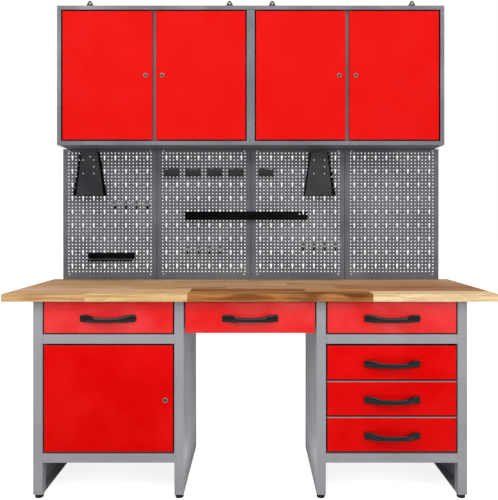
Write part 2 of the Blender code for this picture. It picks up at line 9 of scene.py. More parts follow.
import bmesh
import bpy
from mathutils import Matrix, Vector


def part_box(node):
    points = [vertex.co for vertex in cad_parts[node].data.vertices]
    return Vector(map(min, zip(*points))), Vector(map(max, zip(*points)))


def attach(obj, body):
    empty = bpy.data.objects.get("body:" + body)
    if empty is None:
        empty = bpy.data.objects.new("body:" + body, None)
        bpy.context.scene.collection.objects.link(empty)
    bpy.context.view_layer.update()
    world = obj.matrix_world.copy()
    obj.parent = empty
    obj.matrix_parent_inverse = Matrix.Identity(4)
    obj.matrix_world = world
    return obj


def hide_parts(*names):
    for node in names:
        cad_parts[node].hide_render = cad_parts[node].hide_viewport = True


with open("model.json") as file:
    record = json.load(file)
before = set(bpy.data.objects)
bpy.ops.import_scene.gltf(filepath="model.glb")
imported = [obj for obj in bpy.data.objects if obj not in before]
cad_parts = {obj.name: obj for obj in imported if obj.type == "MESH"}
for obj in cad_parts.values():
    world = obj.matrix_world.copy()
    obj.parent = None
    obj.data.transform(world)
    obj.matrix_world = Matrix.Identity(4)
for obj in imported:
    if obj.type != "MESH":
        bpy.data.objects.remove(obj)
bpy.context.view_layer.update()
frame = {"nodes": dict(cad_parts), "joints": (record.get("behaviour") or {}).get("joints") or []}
joints = {joint["name"]: joint for joint in frame["joints"]}

MM = 0.001
AIR = 0.2 * MM                 # between two pieces that touch
STEEL = 1.2 * MM               # sheet of doors, fronts and panels
BEND = 3 * MM                  # outer radius of their folded edges
PIN_LENGTH = 4 * MM            # hinge pins stand this far out of a door
PIN_RADIUS = 2.5 * MM
TINY = 0.001 * MM              # less than this is nothing
WELD = 0.01 * MM               # corners closer than this are one

# ---- nodes ------------------------------------------------------------------------------

MIX_A, MIX_B, MIX_COLOUR = 6, 7, 2     # sockets of a Mix node that mixes colours


def linear(text):
    """Linear RGBA of an sRGB hex colour."""
    parts = [int(text[place:place + 2], 16) / 255 for place in (1, 3, 5)]
    return (*(((part + 0.055) / 1.055) ** 2.4 if part > 0.04045 else part / 12.92
              for part in parts), 1.0)


def add(tree, kind, inputs=(), **settings):
    """Add a node with its settings and what its sockets get: a value or another node.

    inputs lists them in the order of the sockets, or maps a socket's name to them.  A node
    gives its first output, and a (node, output) pair the one that it names.
    """
    made = tree.nodes.new(kind)
    for key, value in settings.items():
        setattr(made, key, value)
    for key, value in (inputs if isinstance(inputs, dict) else dict(enumerate(inputs))).items():
        source = value if isinstance(value, tuple) else (value, 0)
        if isinstance(source[0], bpy.types.Node):
            tree.links.new(source[0].outputs[source[1]], made.inputs[key])
        else:
            made.inputs[key].default_value = value
    return made


def start_material(name):
    """A material with its shader and the coordinates of the whole object."""
    made = bpy.data.materials.new(name)
    made.use_nodes = True
    tree = made.node_tree
    tree.nodes.clear()
    shader = add(tree, "ShaderNodeBsdfPrincipled")
    add(tree, "ShaderNodeOutputMaterial", {"Surface": shader})
    place = add(tree, "ShaderNodeTexCoord")
    return made, tree, shader, (place, "Object")


def lumps(tree, place, size, detail=2.0, stretch=(1, 1, 1), roughness=0.5, distortion=0.0):
    """Noise whose lumps are about size metres across, divided by stretch on each axis."""
    scale = tuple(part / size for part in stretch)
    spread = add(tree, "ShaderNodeMapping", {"Vector": place, "Scale": scale})
    return add(tree, "ShaderNodeTexNoise", {
        "Vector": spread, "Scale": 1.0, "Detail": detail, "Roughness": roughness,
        "Distortion": distortion}), "Fac"


def finished(tree, shader, share, shade, colour, gloss, relief=None):
    """Colour between shade and colour by share, with a gloss and a (height, depth) relief."""
    tint = add(tree, "ShaderNodeMix", {0: share, MIX_A: linear(shade), MIX_B: linear(colour)},
               data_type="RGBA")
    tree.links.new(tint.outputs[MIX_COLOUR], shader.inputs["Base Color"])
    tree.links.new(gloss.outputs[0], shader.inputs["Roughness"])
    if relief:
        height, depth, strength = relief
        bump = add(tree, "ShaderNodeBump", {"Height": height, "Strength": strength,
                                            "Distance": depth})
        tree.links.new(bump.outputs[0], shader.inputs["Normal"])


def powder_coat(name, colour, shade, roughness, lump, relief, sheen=0.25):
    """Polyester powder baked on sheet steel: an even, slightly cloudy colour and orange peel.

    lump is the size of the peel, drawn coarser than the real 1 to 2 mm so that it shows.
    The sheen is patchy, and stronger on faces that look up or down.
    """
    made, tree, shader, place = start_material(name)
    cloud = lumps(tree, place, 160 * MM, 3.0)
    speck = lumps(tree, place, lump)
    peel = lumps(tree, place, lump * 0.6, 1.0)
    both = add(tree, "ShaderNodeMath", [cloud, speck], operation="ADD")
    finished(tree, shader, add(tree, "ShaderNodeMapRange", [both, 0.75, 1.25]), shade, colour,
             add(tree, "ShaderNodeMapRange", [speck, 0.3, 0.7, roughness - 0.05,
                                              roughness + 0.06]), (peel, relief, 0.35))
    facing = add(tree, "ShaderNodeSeparateXYZ", [(place[0], "Normal")])
    level = add(tree, "ShaderNodeMath", [(facing, "Z")], operation="ABSOLUTE")
    shine = add(tree, "ShaderNodeMath", [
        add(tree, "ShaderNodeMapRange", [level, 0.15, 0.8, 0.0, 0.45]),
        add(tree, "ShaderNodeMapRange", [cloud, 0.35, 0.65, 0.5 * sheen, 1.5 * sheen])],
        operation="ADD")
    tree.links.new(shine.outputs[0], shader.inputs["Specular IOR Level"])
    return made


def moulded_plastic(name, colour, shade, roughness, grain, relief, sheen=0.3):
    """Injection-moulded nylon or PVC: dark, with the fine spark-eroded grain of its mould."""
    made, tree, shader, place = start_material(name)
    pits = lumps(tree, place, grain, 3.0)
    finished(tree, shader, add(tree, "ShaderNodeMapRange", [pits, 0.35, 0.65]), shade, colour,
             add(tree, "ShaderNodeMapRange", [pits, 0.3, 0.7, roughness - 0.06,
                                              roughness + 0.06]), (pits, relief, 0.4))
    shader.inputs["Specular IOR Level"].default_value = sheen
    return made


def plated(name, colour, shade, roughness):
    """Nickel, chrome or zinc on turned and stamped steel, with faint rubbing marks."""
    made, tree, shader, place = start_material(name)
    rub = lumps(tree, place, 0.6 * MM, stretch=(1, 1, 6))
    finished(tree, shader, add(tree, "ShaderNodeMapRange", [rub, 0.3, 0.7]), shade, colour,
             add(tree, "ShaderNodeMapRange", [rub, 0.3, 0.7, roughness - 0.05,
                                              roughness + 0.07]))
    shader.inputs["Metallic"].default_value = 1.0
    return made


def oiled_staves(name):
    """Oak and beech staves glued side by side, planed, sanded and oiled.

    Each stave brings its own colour, seed and share of dark heartwood as attributes of its
    faces.  The fibres run along X: long streaks, fine pores and a few dark wisps.
    """
    made, tree, shader, place = start_material(name)
    colour = add(tree, "ShaderNodeAttribute", attribute_name="stave_colour")
    seed = add(tree, "ShaderNodeAttribute", attribute_name="stave_seed")
    heart = add(tree, "ShaderNodeAttribute", attribute_name="stave_heart")
    jump = add(tree, "ShaderNodeVectorMath", {0: (3.1, 1.7, 0.9), "Scale": (seed, "Fac")},
               operation="SCALE")
    own = add(tree, "ShaderNodeVectorMath", [place, jump], operation="ADD")
    sway = lumps(tree, own, 0.25, 2.0, stretch=(1, 3, 3))
    swayed = add(tree, "ShaderNodeVectorMath", {0: (0, 0.035, 0.035), "Scale": sway},
                 operation="SCALE")
    bent = add(tree, "ShaderNodeVectorMath", [own, swayed], operation="ADD")
    rings = lumps(tree, bent, 0.30, 4.0, stretch=(1, 26, 26), roughness=0.6)
    fibres = lumps(tree, bent, 0.060, 3.0, stretch=(1, 30, 30), roughness=0.7)
    wisps = lumps(tree, bent, 0.55, 2.0, stretch=(1, 15, 15), distortion=0.7)
    pores = lumps(tree, own, 0.010, 1.0, stretch=(1, 18, 18))

    late = add(tree, "ShaderNodeMix", {
        0: add(tree, "ShaderNodeMapRange", [rings, 0.42, 0.66]), MIX_A: (colour, "Vector"),
        MIX_B: linear("#DBC2A9")}, data_type="RGBA", blend_type="MULTIPLY")
    streaked = add(tree, "ShaderNodeMix", {
        0: add(tree, "ShaderNodeMapRange", [fibres, 0.40, 0.75]), MIX_A: (late, MIX_COLOUR),
        MIX_B: linear("#E6D9C9")}, data_type="RGBA", blend_type="MULTIPLY")
    dark = add(tree, "ShaderNodeMath", [
        add(tree, "ShaderNodeMapRange", [wisps, 0.52, 0.60]), (heart, "Fac")],
        operation="MULTIPLY")
    hearted = add(tree, "ShaderNodeMix", {
        0: dark, MIX_A: (streaked, MIX_COLOUR), MIX_B: linear("#5E3517")}, data_type="RGBA")
    pitted = add(tree, "ShaderNodeMix", {
        0: add(tree, "ShaderNodeMapRange", [pores, 0.60, 0.78, 0.0, 0.35]),
        MIX_A: (hearted, MIX_COLOUR), MIX_B: linear("#6B4423")}, data_type="RGBA")
    bump = add(tree, "ShaderNodeBump", {"Height": fibres, "Strength": 0.25,
                                        "Distance": 0.15 * MM})
    gloss = add(tree, "ShaderNodeMapRange", [fibres, 0.3, 0.7, 0.44, 0.58])
    tree.links.new(pitted.outputs[MIX_COLOUR], shader.inputs["Base Color"])
    tree.links.new(gloss.outputs[0], shader.inputs["Roughness"])
    tree.links.new(bump.outputs[0], shader.inputs["Normal"])
    shader.inputs["Specular IOR Level"].default_value = 0.04
    return made


# Reds: drawers and base door are deep.  The three top drawers take a paler copy of that red,
# which is painted glare, and a stronger sheen; the doors of the wall cabinets are paler and
# pinker: painted glare too, with hardly any sheen.
bench_red = powder_coat("red_powder_coat_bench", "#D00302", "#C40201", 0.42, 7 * MM,
                        0.10 * MM, 0.05)
# Top drawers: the bench red made paler, which is painted glare; its real sheen is raised as well.
glare_lit_red = powder_coat("red_powder_coat_rubbed", "#D90A09", "#CD0706", 0.40, 7 * MM,
                         0.12 * MM, 0.5)
# Wall doors: the paler, pinker red is painted glare in the colour; the sheen is kept almost nil.
wall_red = powder_coat("red_powder_coat_wall_doors", "#CC110E", "#C9100D", 0.42, 9 * MM,
                       0.06 * MM, 0.02)
# Greys: pale and matt on the pedestals, darker with a satin gloss on the wall unit.
light_grey = powder_coat("light_grey_powder_coat", "#8F9195", "#86888C", 0.45, 5 * MM,
                         0.08 * MM)
slate_grey = powder_coat("slate_grey_powder_coat", "#6A6B72", "#626369", 0.30, 4 * MM,
                         0.08 * MM, 0.40)
panel_grey = powder_coat("mid_grey_powder_coat", "#595A61", "#515259", 0.32, 4 * MM,
                         0.08 * MM, 0.36)
dark_slate = powder_coat("dark_slate_powder_coat", "#3A3A3E", "#323236", 0.45, 4 * MM,
                         0.05 * MM)
# Blacks: flat on rails and flanges, softly grey on plates, glossy where hands pull.
black_coat = powder_coat("black_powder_coat", "#08080A", "#040405", 0.50, 3 * MM,
                         0.06 * MM, 0.04)
plate_black = powder_coat("anthracite_powder_coat", "#2E2C31", "#252428", 0.34, 4 * MM,
                          0.05 * MM)
grip_black = moulded_plastic("black_nylon", "#08080A", "#040405", 0.17, 1.2 * MM,
                             0.02 * MM, 0.34)
rubber = moulded_plastic("black_rubber", "#18181A", "#0F0F11", 0.70, 2.0 * MM, 0.15 * MM)
# Platings: warm nickel on locks, duller on their plugs; chrome on hooks; zinc on screws.
nickel = plated("nickel_plate", "#A8A196", "#8C867C", 0.34)
plug_nickel = plated("worn_nickel_plate", "#5E5953", "#423E3A", 0.45)
chrome = plated("bright_chrome", "#F0F1F3", "#D6D8DC", 0.55)
dull_zinc = plated("dull_zinc_plate", "#6E7076", "#54565B", 0.55)
zinc = plated("zinc_plated_steel", "#C9CCD0", "#A3A7AE", 0.36)
wood = oiled_staves("oiled_glued_oak")

# ---- shapes -----------------------------------------------------------------------------


def piece_from(name, builder, material, recalculate=True):
    """Turn a bmesh into an object of the scene."""
    if recalculate:
        bmesh.ops.recalc_face_normals(builder, faces=builder.faces)
    mesh = bpy.data.meshes.new(name)
    builder.to_mesh(mesh)
    builder.free()
    made = bpy.data.objects.new(name, mesh)
    bpy.context.scene.collection.objects.link(made)
    mesh.materials.append(material)
    return made


def evaluated_mesh(piece):
    """Replace the piece's mesh by what its modifiers make of it, and drop them."""
    graph = bpy.context.evaluated_depsgraph_get()
    made = bpy.data.meshes.new_from_object(piece.evaluated_get(graph))
    piece.modifiers.clear()
    spent = piece.data
    piece.data = made
    made.name = piece.name
    bpy.data.meshes.remove(spent)
    return piece


def smooth(piece, angle=40):
    """Smooth shading that leaves flat faces flat and edges over the angle sharp."""
    piece.data.shade_smooth()
    piece.data.set_sharp_from_angle(angle=radians(angle))
    level = piece.modifiers.new("level", "WEIGHTED_NORMAL")
    level.keep_sharp = True
    return evaluated_mesh(piece)


def rounded(piece, width, segments=2, angle=30):
    """Round every edge that is sharper than the angle."""
    edge = piece.modifiers.new("edge", "BEVEL")
    edge.width = width
    edge.segments = segments
    edge.limit_method = "ANGLE"
    edge.angle_limit = radians(angle)
    edge.use_clamp_overlap = True
    return smooth(evaluated_mesh(piece))


def cut(piece, tool):
    """Cut a tool away from the piece."""
    step = piece.modifiers.new("cut", "BOOLEAN")
    step.operation = "DIFFERENCE"
    step.solver = "EXACT"
    step.object = tool
    evaluated_mesh(piece)
    bpy.data.objects.remove(tool)
    return piece


def joined(name, pieces):
    """Join pieces into the first one."""
    builder = bmesh.new()
    materials = []
    for piece in pieces:
        count = len(builder.faces)
        builder.from_mesh(piece.data)
        builder.faces.ensure_lookup_table()
        material = piece.data.materials[0]
        if material not in materials:
            materials.append(material)
        for face in builder.faces[count:]:
            face.material_index = materials.index(material)
    kept = piece_from(name, builder, materials[0], recalculate=False)
    for material in materials[1:]:
        kept.data.materials.append(material)
    for piece in pieces:
        bpy.data.objects.remove(piece)
    return kept


def banded(builder, ring, following):
    """Faces between two closed rings of as many corners."""
    for here in range(len(ring)):
        after = (here + 1) % len(ring)
        builder.faces.new((ring[here], ring[after], following[after], following[here]))


# Turn two numbers across an axis and one along it into X, Y and Z.
ORDER = {"X": lambda a, b, along: (along, a, b), "Y": lambda a, b, along: (a, along, b),
         "Z": lambda a, b, along: (a, b, along)}


def prism(name, outline, axis, start, end, material):
    """An outline, in the two other axes in X, Y, Z order, carried along an axis."""
    builder = bmesh.new()
    ends = [[builder.verts.new(ORDER[axis](a, b, place)) for a, b in outline]
            for place in (start, end)]
    for ring in ends:
        builder.faces.new(ring)
    banded(builder, *ends)
    return piece_from(name, builder, material)


def block(name, x, y, z, material):
    """Box between pairs of X, Y and Z."""
    return prism(name, [(x[0], z[0]), (x[1], z[0]), (x[1], z[1]), (x[0], z[1])], "Y",
                 y[0], y[1], material)


def arc(centre, radius, steps, start=0.0, sweep=2 * pi):
    """Points on an arc; a full turn doesn't repeat its first point."""
    parts = steps if abs(sweep) == 2 * pi else steps - 1
    return [(centre[0] + radius * cos(start + sweep * step / parts),
             centre[1] + radius * sin(start + sweep * step / parts)) for step in range(steps)]


def rod(name, centre, radius, axis, start, end, material, sides=24):
    """Round bar along an axis."""
    return prism(name, arc(centre, radius, sides), axis, start, end, material)


def turned(name, centre, profile, material, sides=32, axis="Y"):
    """A profile of (radius, place along the axis) turned round an axis; closed at radius 0."""
    builder = bmesh.new()
    rings = []
    for radius, along in profile:
        points = arc(centre, radius, sides) if radius > TINY else [centre]
        rings.append([builder.verts.new(ORDER[axis](a, b, along)) for a, b in points])
    for ring, following in zip(rings, rings[1:]):
        for here in range(sides):
            after = (here + 1) % sides
            corners = [ring[here % len(ring)], ring[after % len(ring)],
                       following[after % len(following)], following[here % len(following)]]
            corners = [v for i, v in enumerate(corners) if v not in corners[:i]]
            if len(corners) > 2:
                builder.faces.new(corners)
    if len(rings[0]) > 1 and profile[0] == profile[-1]:
        bmesh.ops.remove_doubles(builder, verts=builder.verts, dist=TINY)
    return piece_from(name, builder, material)


def swept(name, path, radius, material, sides=10):
    """A round bar along points, with round ends."""
    points = [Vector(point) for point in path]
    builder = bmesh.new()
    rings = []
    side = None
    for place, point in enumerate(points):
        before = points[max(place - 1, 0)]
        after = points[min(place + 1, len(points) - 1)]
        ahead = (after - before).normalized()
        if side is None:
            side = ahead.orthogonal().normalized()
        side = (side - ahead * side.dot(ahead)).normalized()
        other = ahead.cross(side)
        rings.append([builder.verts.new(point + side * radius * cos(turn)
                                        + other * radius * sin(turn))
                      for turn in (2 * pi * step / sides for step in range(sides))])
    for ring, following in zip(rings, rings[1:]):
        banded(builder, ring, following)
    for ring, back in ((rings[0], points[0] - points[1]), (rings[-1], points[-1] - points[-2])):
        middle = sum((v.co for v in ring), Vector()) / sides
        inner = [builder.verts.new(middle + (v.co - middle) * 0.6
                                   + back.normalized() * radius * 0.6) for v in ring]
        banded(builder, ring, inner)
        builder.faces.new(inner)
    return smooth(piece_from(name, builder, material), 60)


def tray_builder(low, high, front, depth, sheet=STEEL, bend=BEND, steps=4, faces=True):
    """Bmesh of a sheet tray, folded back from its front, with rounded folds.

    low and high are its corners in X and Z; faces=False leaves its front open.
    """
    inner = bend - sheet
    rings = [(bend * (1 - sin(turn)), front + bend * (1 - cos(turn)))
             for turn in (pi / 2 * step / steps for step in range(steps + 1))]
    rings += [(0.0, front + depth), (sheet, front + depth)]
    rings += [(sheet + inner * (1 - sin(turn)), front + sheet + inner * (1 - cos(turn)))
              for turn in (pi / 2 * step / steps for step in range(steps, -1, -1))]
    builder = bmesh.new()
    loops = []
    for inset, y in rings:
        corners = [(low[0] + inset, low[1] + inset), (high[0] - inset, low[1] + inset),
                   (high[0] - inset, high[1] - inset), (low[0] + inset, high[1] - inset)]
        loops.append([builder.verts.new((x, y, z)) for x, z in corners])
    for loop, following in zip(loops, loops[1:]):
        banded(builder, loop, following)
    if faces:
        builder.faces.new(loops[0])
        builder.faces.new(loops[-1])
    return builder


def softened(node, name, material, width, body="frame", tools=()):
    """A part of the model, cut by tools and with its folds rounded, in that part's place."""
    builder = bmesh.new()
    builder.from_mesh(frame["nodes"][node].data)
    bmesh.ops.remove_doubles(builder, verts=builder.verts, dist=WELD)
    made = piece_from(name, builder, material, recalculate=False)
    for tool in tools:
        cut(made, tool)
    builder = bmesh.new()
    builder.from_mesh(made.data)
    bmesh.ops.remove_doubles(builder, verts=builder.verts, dist=WELD)
    bmesh.ops.dissolve_limit(builder, angle_limit=radians(0.5), verts=builder.verts,
                             edges=builder.edges)
    builder.to_mesh(made.data)
    builder.free()
    return place(rounded(made, width), body, node)


def place(piece, body, *nodes):
    """Let the piece ride on a body, in place of parts of the model."""
    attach(piece, body)
    if nodes:
        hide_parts(*nodes)
    return piece


# ---- geometry nodes ---------------------------------------------------------------------


def start_tree(name, sockets):
    """A geometry tree with named inputs: (name, socket type)."""
    tree = bpy.data.node_groups.new(name, "GeometryNodeTree")
    tree.interface.new_socket("Geometry", in_out="INPUT", socket_type="NodeSocketGeometry")
    for label, kind in sockets:
        tree.interface.new_socket(label, in_out="INPUT", socket_type=kind)
    tree.interface.new_socket("Geometry", in_out="OUTPUT", socket_type="NodeSocketGeometry")
    return tree, add(tree, "NodeGroupInput"), add(tree, "NodeGroupOutput")


def grown(name, tree, base, values):
    """Run a geometry tree on a base mesh and keep the result as a plain mesh."""
    made = bpy.data.objects.new(name, base)
    bpy.context.scene.collection.objects.link(made)
    step = made.modifiers.new("grow", "NODES")
    step.node_group = tree
    for item in tree.interface.items_tree:
        if item.in_out == "INPUT" and item.name in values:
            step[item.identifier] = values[item.name]
    return evaluated_mesh(made)


def points_mesh(name, places):
    """A mesh of loose points."""
    mesh = bpy.data.meshes.new(name)
    mesh.from_pydata([tuple(place) for place in places], [], [])
    return mesh


def repeating_tree():
    """Copies of an item on each point, each turned a little about Y at random."""
    tree, given, result = start_tree("repeat_on_points", (
        ("Item", "NodeSocketObject"), ("Turn", "NodeSocketFloat"), ("Seed", "NodeSocketInt"),
        ("Material", "NodeSocketMaterial")))
    item = add(tree, "GeometryNodeObjectInfo", {"Object": (given, "Item")})
    least = add(tree, "ShaderNodeMath", [(given, "Turn"), -1.0], operation="MULTIPLY")
    turn = add(tree, "FunctionNodeRandomValue", {"Min": least, "Max": (given, "Turn"),
                                                 "Seed": (given, "Seed")})
    about = add(tree, "ShaderNodeCombineXYZ", {"Y": (turn, "Value")})
    copies = add(tree, "GeometryNodeInstanceOnPoints", {
        "Points": (given, "Geometry"), "Instance": (item, "Geometry"), "Rotation": about})
    real = add(tree, "GeometryNodeRealizeInstances", {"Geometry": copies})
    painted = add(tree, "GeometryNodeSetMaterial", {"Geometry": real,
                                                    "Material": (given, "Material")})
    tree.links.new(painted.outputs[0], result.inputs[0])
    return tree


def perforating_tree():
    """A flat sheet with rows of round holes.  Keyhole slots stand in every third column.

    They repeat every fourth row, and each takes the place of two holes.  The sheet lies in
    X and Z at Y 0, and its thickness goes to +Y.
    """
    tree, given, result = start_tree("perforated_sheet", (
        ("Width", "NodeSocketFloat"), ("Height", "NodeSocketFloat"),
        ("Thickness", "NodeSocketFloat"), ("Columns", "NodeSocketInt"),
        ("Rows", "NodeSocketInt"), ("Column Pitch", "NodeSocketFloat"),
        ("Row Pitch", "NodeSocketFloat"), ("Rise", "NodeSocketFloat"),
        ("Hole Radius", "NodeSocketFloat"), ("Keyhole", "NodeSocketObject"),
        ("Screw Holes", "NodeSocketObject"), ("Material", "NodeSocketMaterial")))

    spans, numbers = [], []
    for count, pitch in (("Columns", "Column Pitch"), ("Rows", "Row Pitch")):
        gaps = add(tree, "ShaderNodeMath", [(given, count), 1.0], operation="SUBTRACT")
        span = add(tree, "ShaderNodeMath", [gaps, (given, pitch)], operation="MULTIPLY")
        spans.append((gaps, span))
    grid = add(tree, "GeometryNodeMeshGrid", {
        "Size X": spans[0][1], "Size Y": spans[1][1],
        "Vertices X": (given, "Columns"), "Vertices Y": (given, "Rows")})
    where = add(tree, "ShaderNodeSeparateXYZ", [add(tree, "GeometryNodeInputPosition")])
    for axis, (gaps, _), pitch in (("X", spans[0], "Column Pitch"), ("Y", spans[1], "Row Pitch")):
        steps = add(tree, "ShaderNodeMath", [(where, axis), (given, pitch)], operation="DIVIDE")
        half = add(tree, "ShaderNodeMath", [gaps, 2.0], operation="DIVIDE")
        from_edge = add(tree, "ShaderNodeMath", [steps, half], operation="ADD")
        numbers.append(add(tree, "ShaderNodeMath", [from_edge], operation="ROUND"))
    column, row_up = numbers
    row = add(tree, "ShaderNodeMath", [spans[1][0], row_up], operation="SUBTRACT")
    third = add(tree, "ShaderNodeMath", [column, 3.0], operation="MODULO")
    fourth = add(tree, "ShaderNodeMath", [row, 4.0], operation="MODULO")
    in_column, is_head, is_slot = (
        add(tree, "ShaderNodeMath", [phase, number, 0.1], operation="COMPARE")
        for phase, number in ((third, 1.0), (fourth, 1.0), (fourth, 2.0)))
    head = add(tree, "ShaderNodeMath", [in_column, is_head], operation="MULTIPLY")
    in_row = add(tree, "ShaderNodeMath", [is_head, is_slot], operation="ADD")
    either = add(tree, "ShaderNodeMath", [in_column, in_row], operation="MULTIPLY")
    plain = add(tree, "ShaderNodeMath", [1.0, either], operation="SUBTRACT")
    circle = add(tree, "GeometryNodeCurvePrimitiveCircle", {
        "Resolution": 12, "Radius": (given, "Hole Radius")})
    holes = add(tree, "GeometryNodeInstanceOnPoints", {
        "Points": grid, "Selection": plain, "Instance": circle})
    keyhole = add(tree, "GeometryNodeObjectInfo", {"Object": (given, "Keyhole")})
    keyholes = add(tree, "GeometryNodeInstanceOnPoints", {
        "Points": grid, "Selection": head, "Instance": (keyhole, "Geometry")})
    up = add(tree, "ShaderNodeCombineXYZ", {"Y": (given, "Rise")})
    pattern = add(tree, "GeometryNodeJoinGeometry")
    tree.links.new(holes.outputs[0], pattern.inputs[0])
    tree.links.new(keyholes.outputs[0], pattern.inputs[0])
    raised = add(tree, "GeometryNodeTransform", {"Geometry": pattern, "Translation": up})
    screw_holes = add(tree, "GeometryNodeObjectInfo", {"Object": (given, "Screw Holes")})
    outline = add(tree, "GeometryNodeCurvePrimitiveQuadrilateral", {
        "Width": (given, "Width"), "Height": (given, "Height")})
    curves = add(tree, "GeometryNodeJoinGeometry")
    for source in (raised.outputs[0], screw_holes.outputs["Geometry"], outline.outputs[0]):
        tree.links.new(source, curves.inputs[0])
    flat = add(tree, "GeometryNodeRealizeInstances", {"Geometry": curves})
    filled = add(tree, "GeometryNodeFillCurve", {"Curve": flat})
    down = add(tree, "ShaderNodeMath", [(given, "Thickness"), -1.0], operation="MULTIPLY")
    away = add(tree, "ShaderNodeCombineXYZ", {"Z": down})
    walls = add(tree, "GeometryNodeExtrudeMesh", {
        "Mesh": filled, "Offset": away, "Offset Scale": 1.0, "Individual": False})
    turned_over = add(tree, "GeometryNodeFlipFaces", {"Mesh": walls})
    both = add(tree, "GeometryNodeJoinGeometry")
    tree.links.new(turned_over.outputs[0], both.inputs[0])
    tree.links.new(filled.outputs[0], both.inputs[0])
    merged = add(tree, "GeometryNodeMergeByDistance", {"Geometry": both, "Distance": 1e-6})
    upright = add(tree, "GeometryNodeTransform", {
        "Geometry": merged, "Rotation": (pi / 2, 0.0, 0.0)})
    real = add(tree, "GeometryNodeRealizeInstances", {"Geometry": upright})
    painted = add(tree, "GeometryNodeSetMaterial", {"Geometry": real,
                                                    "Material": (given, "Material")})
    tree.links.new(painted.outputs[0], result.inputs[0])
    return tree


repeating = repeating_tree()
perforating = perforating_tree()


def repeated(name, item, places, material, turn=0.0, seed=1):
    """Copies of an item, one at each place, as one piece; the item is used up."""
    made = grown(name, repeating, points_mesh(name, places), {
        "Item": item, "Turn": turn, "Seed": seed, "Material": material})
    bpy.data.objects.remove(item)
    return made


def outline_curve(name, outlines):
    """A flat curve object of closed outlines."""
    data = bpy.data.curves.new(name, "CURVE")
    data.dimensions = "2D"
    data.fill_mode = "NONE"
    for outline in outlines:
        spline = data.splines.new("POLY")
        spline.points.add(len(outline) - 1)
        for point, (x, y) in zip(spline.points, outline):
            point.co = (x, y, 0.0, 1.0)
        spline.use_cyclic_u = True
    made = bpy.data.objects.new(name, data)
    bpy.context.scene.collection.objects.link(made)
    return made


# ---- tool wall --------------------------------------------------------------------------

COLUMNS, ROWS = 24, 36
COLUMN_PITCH, ROW_PITCH = 17.12 * MM, 16.18 * MM
PANEL_PITCH = 0.45
TOP_ROW = 1.4045               # height of the uppermost holes
HOLE_RADIUS = 3.1 * MM
KEYHOLE_HEAD, KEYHOLE_SLOT = 5.2 * MM, 2.6 * MM        # radius at the head, half the slot
SCREW_HOLE = 3.0 * MM
SCREW_HIGH, SCREW_LOW = 1.4165, 0.8235
SCREW_INSET = 31 * MM


def hole_at(number, column, row):
    """X and Z of a hole of a panel; columns and rows count from the upper left."""
    middle = sum(corner.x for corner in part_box(f"pegboard_{number}")) / 2
    return middle + (column - (COLUMNS - 1) / 2) * COLUMN_PITCH, TOP_ROW - row * ROW_PITCH


def perforated_panels():
    """The four panels: perforated fronts joined to their folded rims, and their screws."""
    lean = atan2(sqrt(KEYHOLE_HEAD ** 2 - KEYHOLE_SLOT ** 2), KEYHOLE_SLOT)
    keyhole = arc((0, 0), KEYHOLE_HEAD, 11, -lean, pi + 2 * lean)
    keyhole += arc((0, -ROW_PITCH), KEYHOLE_SLOT, 6, pi, pi)
    keyhole_curve = outline_curve("keyhole", [keyhole])
    screws = []
    for number in range(1, 5):
        node = f"pegboard_{number}"
        low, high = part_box(node)
        low, high = low + Vector((AIR, 0, 0)), high - Vector((AIR, 0, 0))
        middle_x, middle_z = (low.x + high.x) / 2, (low.z + high.z) / 2
        wide, tall = high.x - low.x - 2 * BEND, high.z - low.z - 2 * BEND
        corners = [(x, z) for x in (low.x + SCREW_INSET, high.x - SCREW_INSET)
                   for z in (SCREW_HIGH, SCREW_LOW)]
        screws += [(x, low.y, z) for x, z in corners]
        screw_curve = outline_curve("screw_holes", [
            arc((x - middle_x, z - middle_z), SCREW_HOLE, 10) for x, z in corners])
        rows_middle = TOP_ROW - (ROWS - 1) / 2 * ROW_PITCH
        sheet = grown(node + "_sheet", perforating, points_mesh("nothing", []), {
            "Width": wide, "Height": tall, "Thickness": STEEL, "Columns": COLUMNS,
            "Rows": ROWS, "Column Pitch": COLUMN_PITCH, "Row Pitch": ROW_PITCH,
            "Rise": rows_middle - middle_z, "Hole Radius": HOLE_RADIUS,
            "Keyhole": keyhole_curve, "Screw Holes": screw_curve, "Material": panel_grey})
        rim = tray_builder((low.x, low.z), (high.x, high.z), low.y, high.y - low.y,
                           faces=False)
        count = len(rim.verts)
        rim.from_mesh(sheet.data)
        rim.verts.ensure_lookup_table()
        bmesh.ops.translate(rim, verts=rim.verts[count:], vec=(middle_x, low.y, middle_z))
        # The sheet's outer walls go, and the rim is sewn to its edges in their place.
        walls = [face for face in rim.faces if abs(face.normal.y) < 0.5
                 and min(v.co.y for v in face.verts) < low.y + WELD
                 and abs(max(v.co.y for v in face.verts) - low.y - STEEL) < STEEL / 2
                 and all(abs(abs(v.co.x - middle_x) - wide / 2) < WELD
                         or abs(abs(v.co.z - middle_z) - tall / 2) < WELD
                         for v in face.verts)]
        bmesh.ops.delete(rim, geom=walls, context="FACES")
        bmesh.ops.remove_doubles(rim, verts=rim.verts, dist=2 * WELD)
        panel = smooth(piece_from(f"perforated_panel_{number}", rim, panel_grey), 30)
        place(panel, "frame", node)
        bpy.data.objects.remove(sheet)
        bpy.data.objects.remove(screw_curve)
    bpy.data.objects.remove(keyhole_curve)
    head = pan_screw("screw_head", 4.6 * MM, 2.2 * MM, SCREW_HOLE * 0.7, 6 * MM)
    place(repeated("panel_screws", head, screws, zinc, turn=pi), "frame")


def pan_screw(name, radius, height, shank, length):
    """A pan-head screw that faces -Y, with a cross recess; its head sits on Y 0."""
    profile = [(0.0, -height)]
    profile += [(radius * sin(turn), -height * (0.35 + 0.65 * cos(turn)))
                for turn in (pi / 2 * step / 5 for step in range(1, 6))]
    profile += [(radius, -AIR), (shank, -AIR), (shank, length), (0.0, length)]
    made = turned(name, (0.0, 0.0), profile, zinc, sides=14)
    for wide, tall in ((radius * 0.55, radius * 0.11), (radius * 0.11, radius * 0.55)):
        cut(made, block("slot", (-wide, wide), (-2 * height, -height * 0.35), (-tall, tall), zinc))
    return made


perforated_panels()

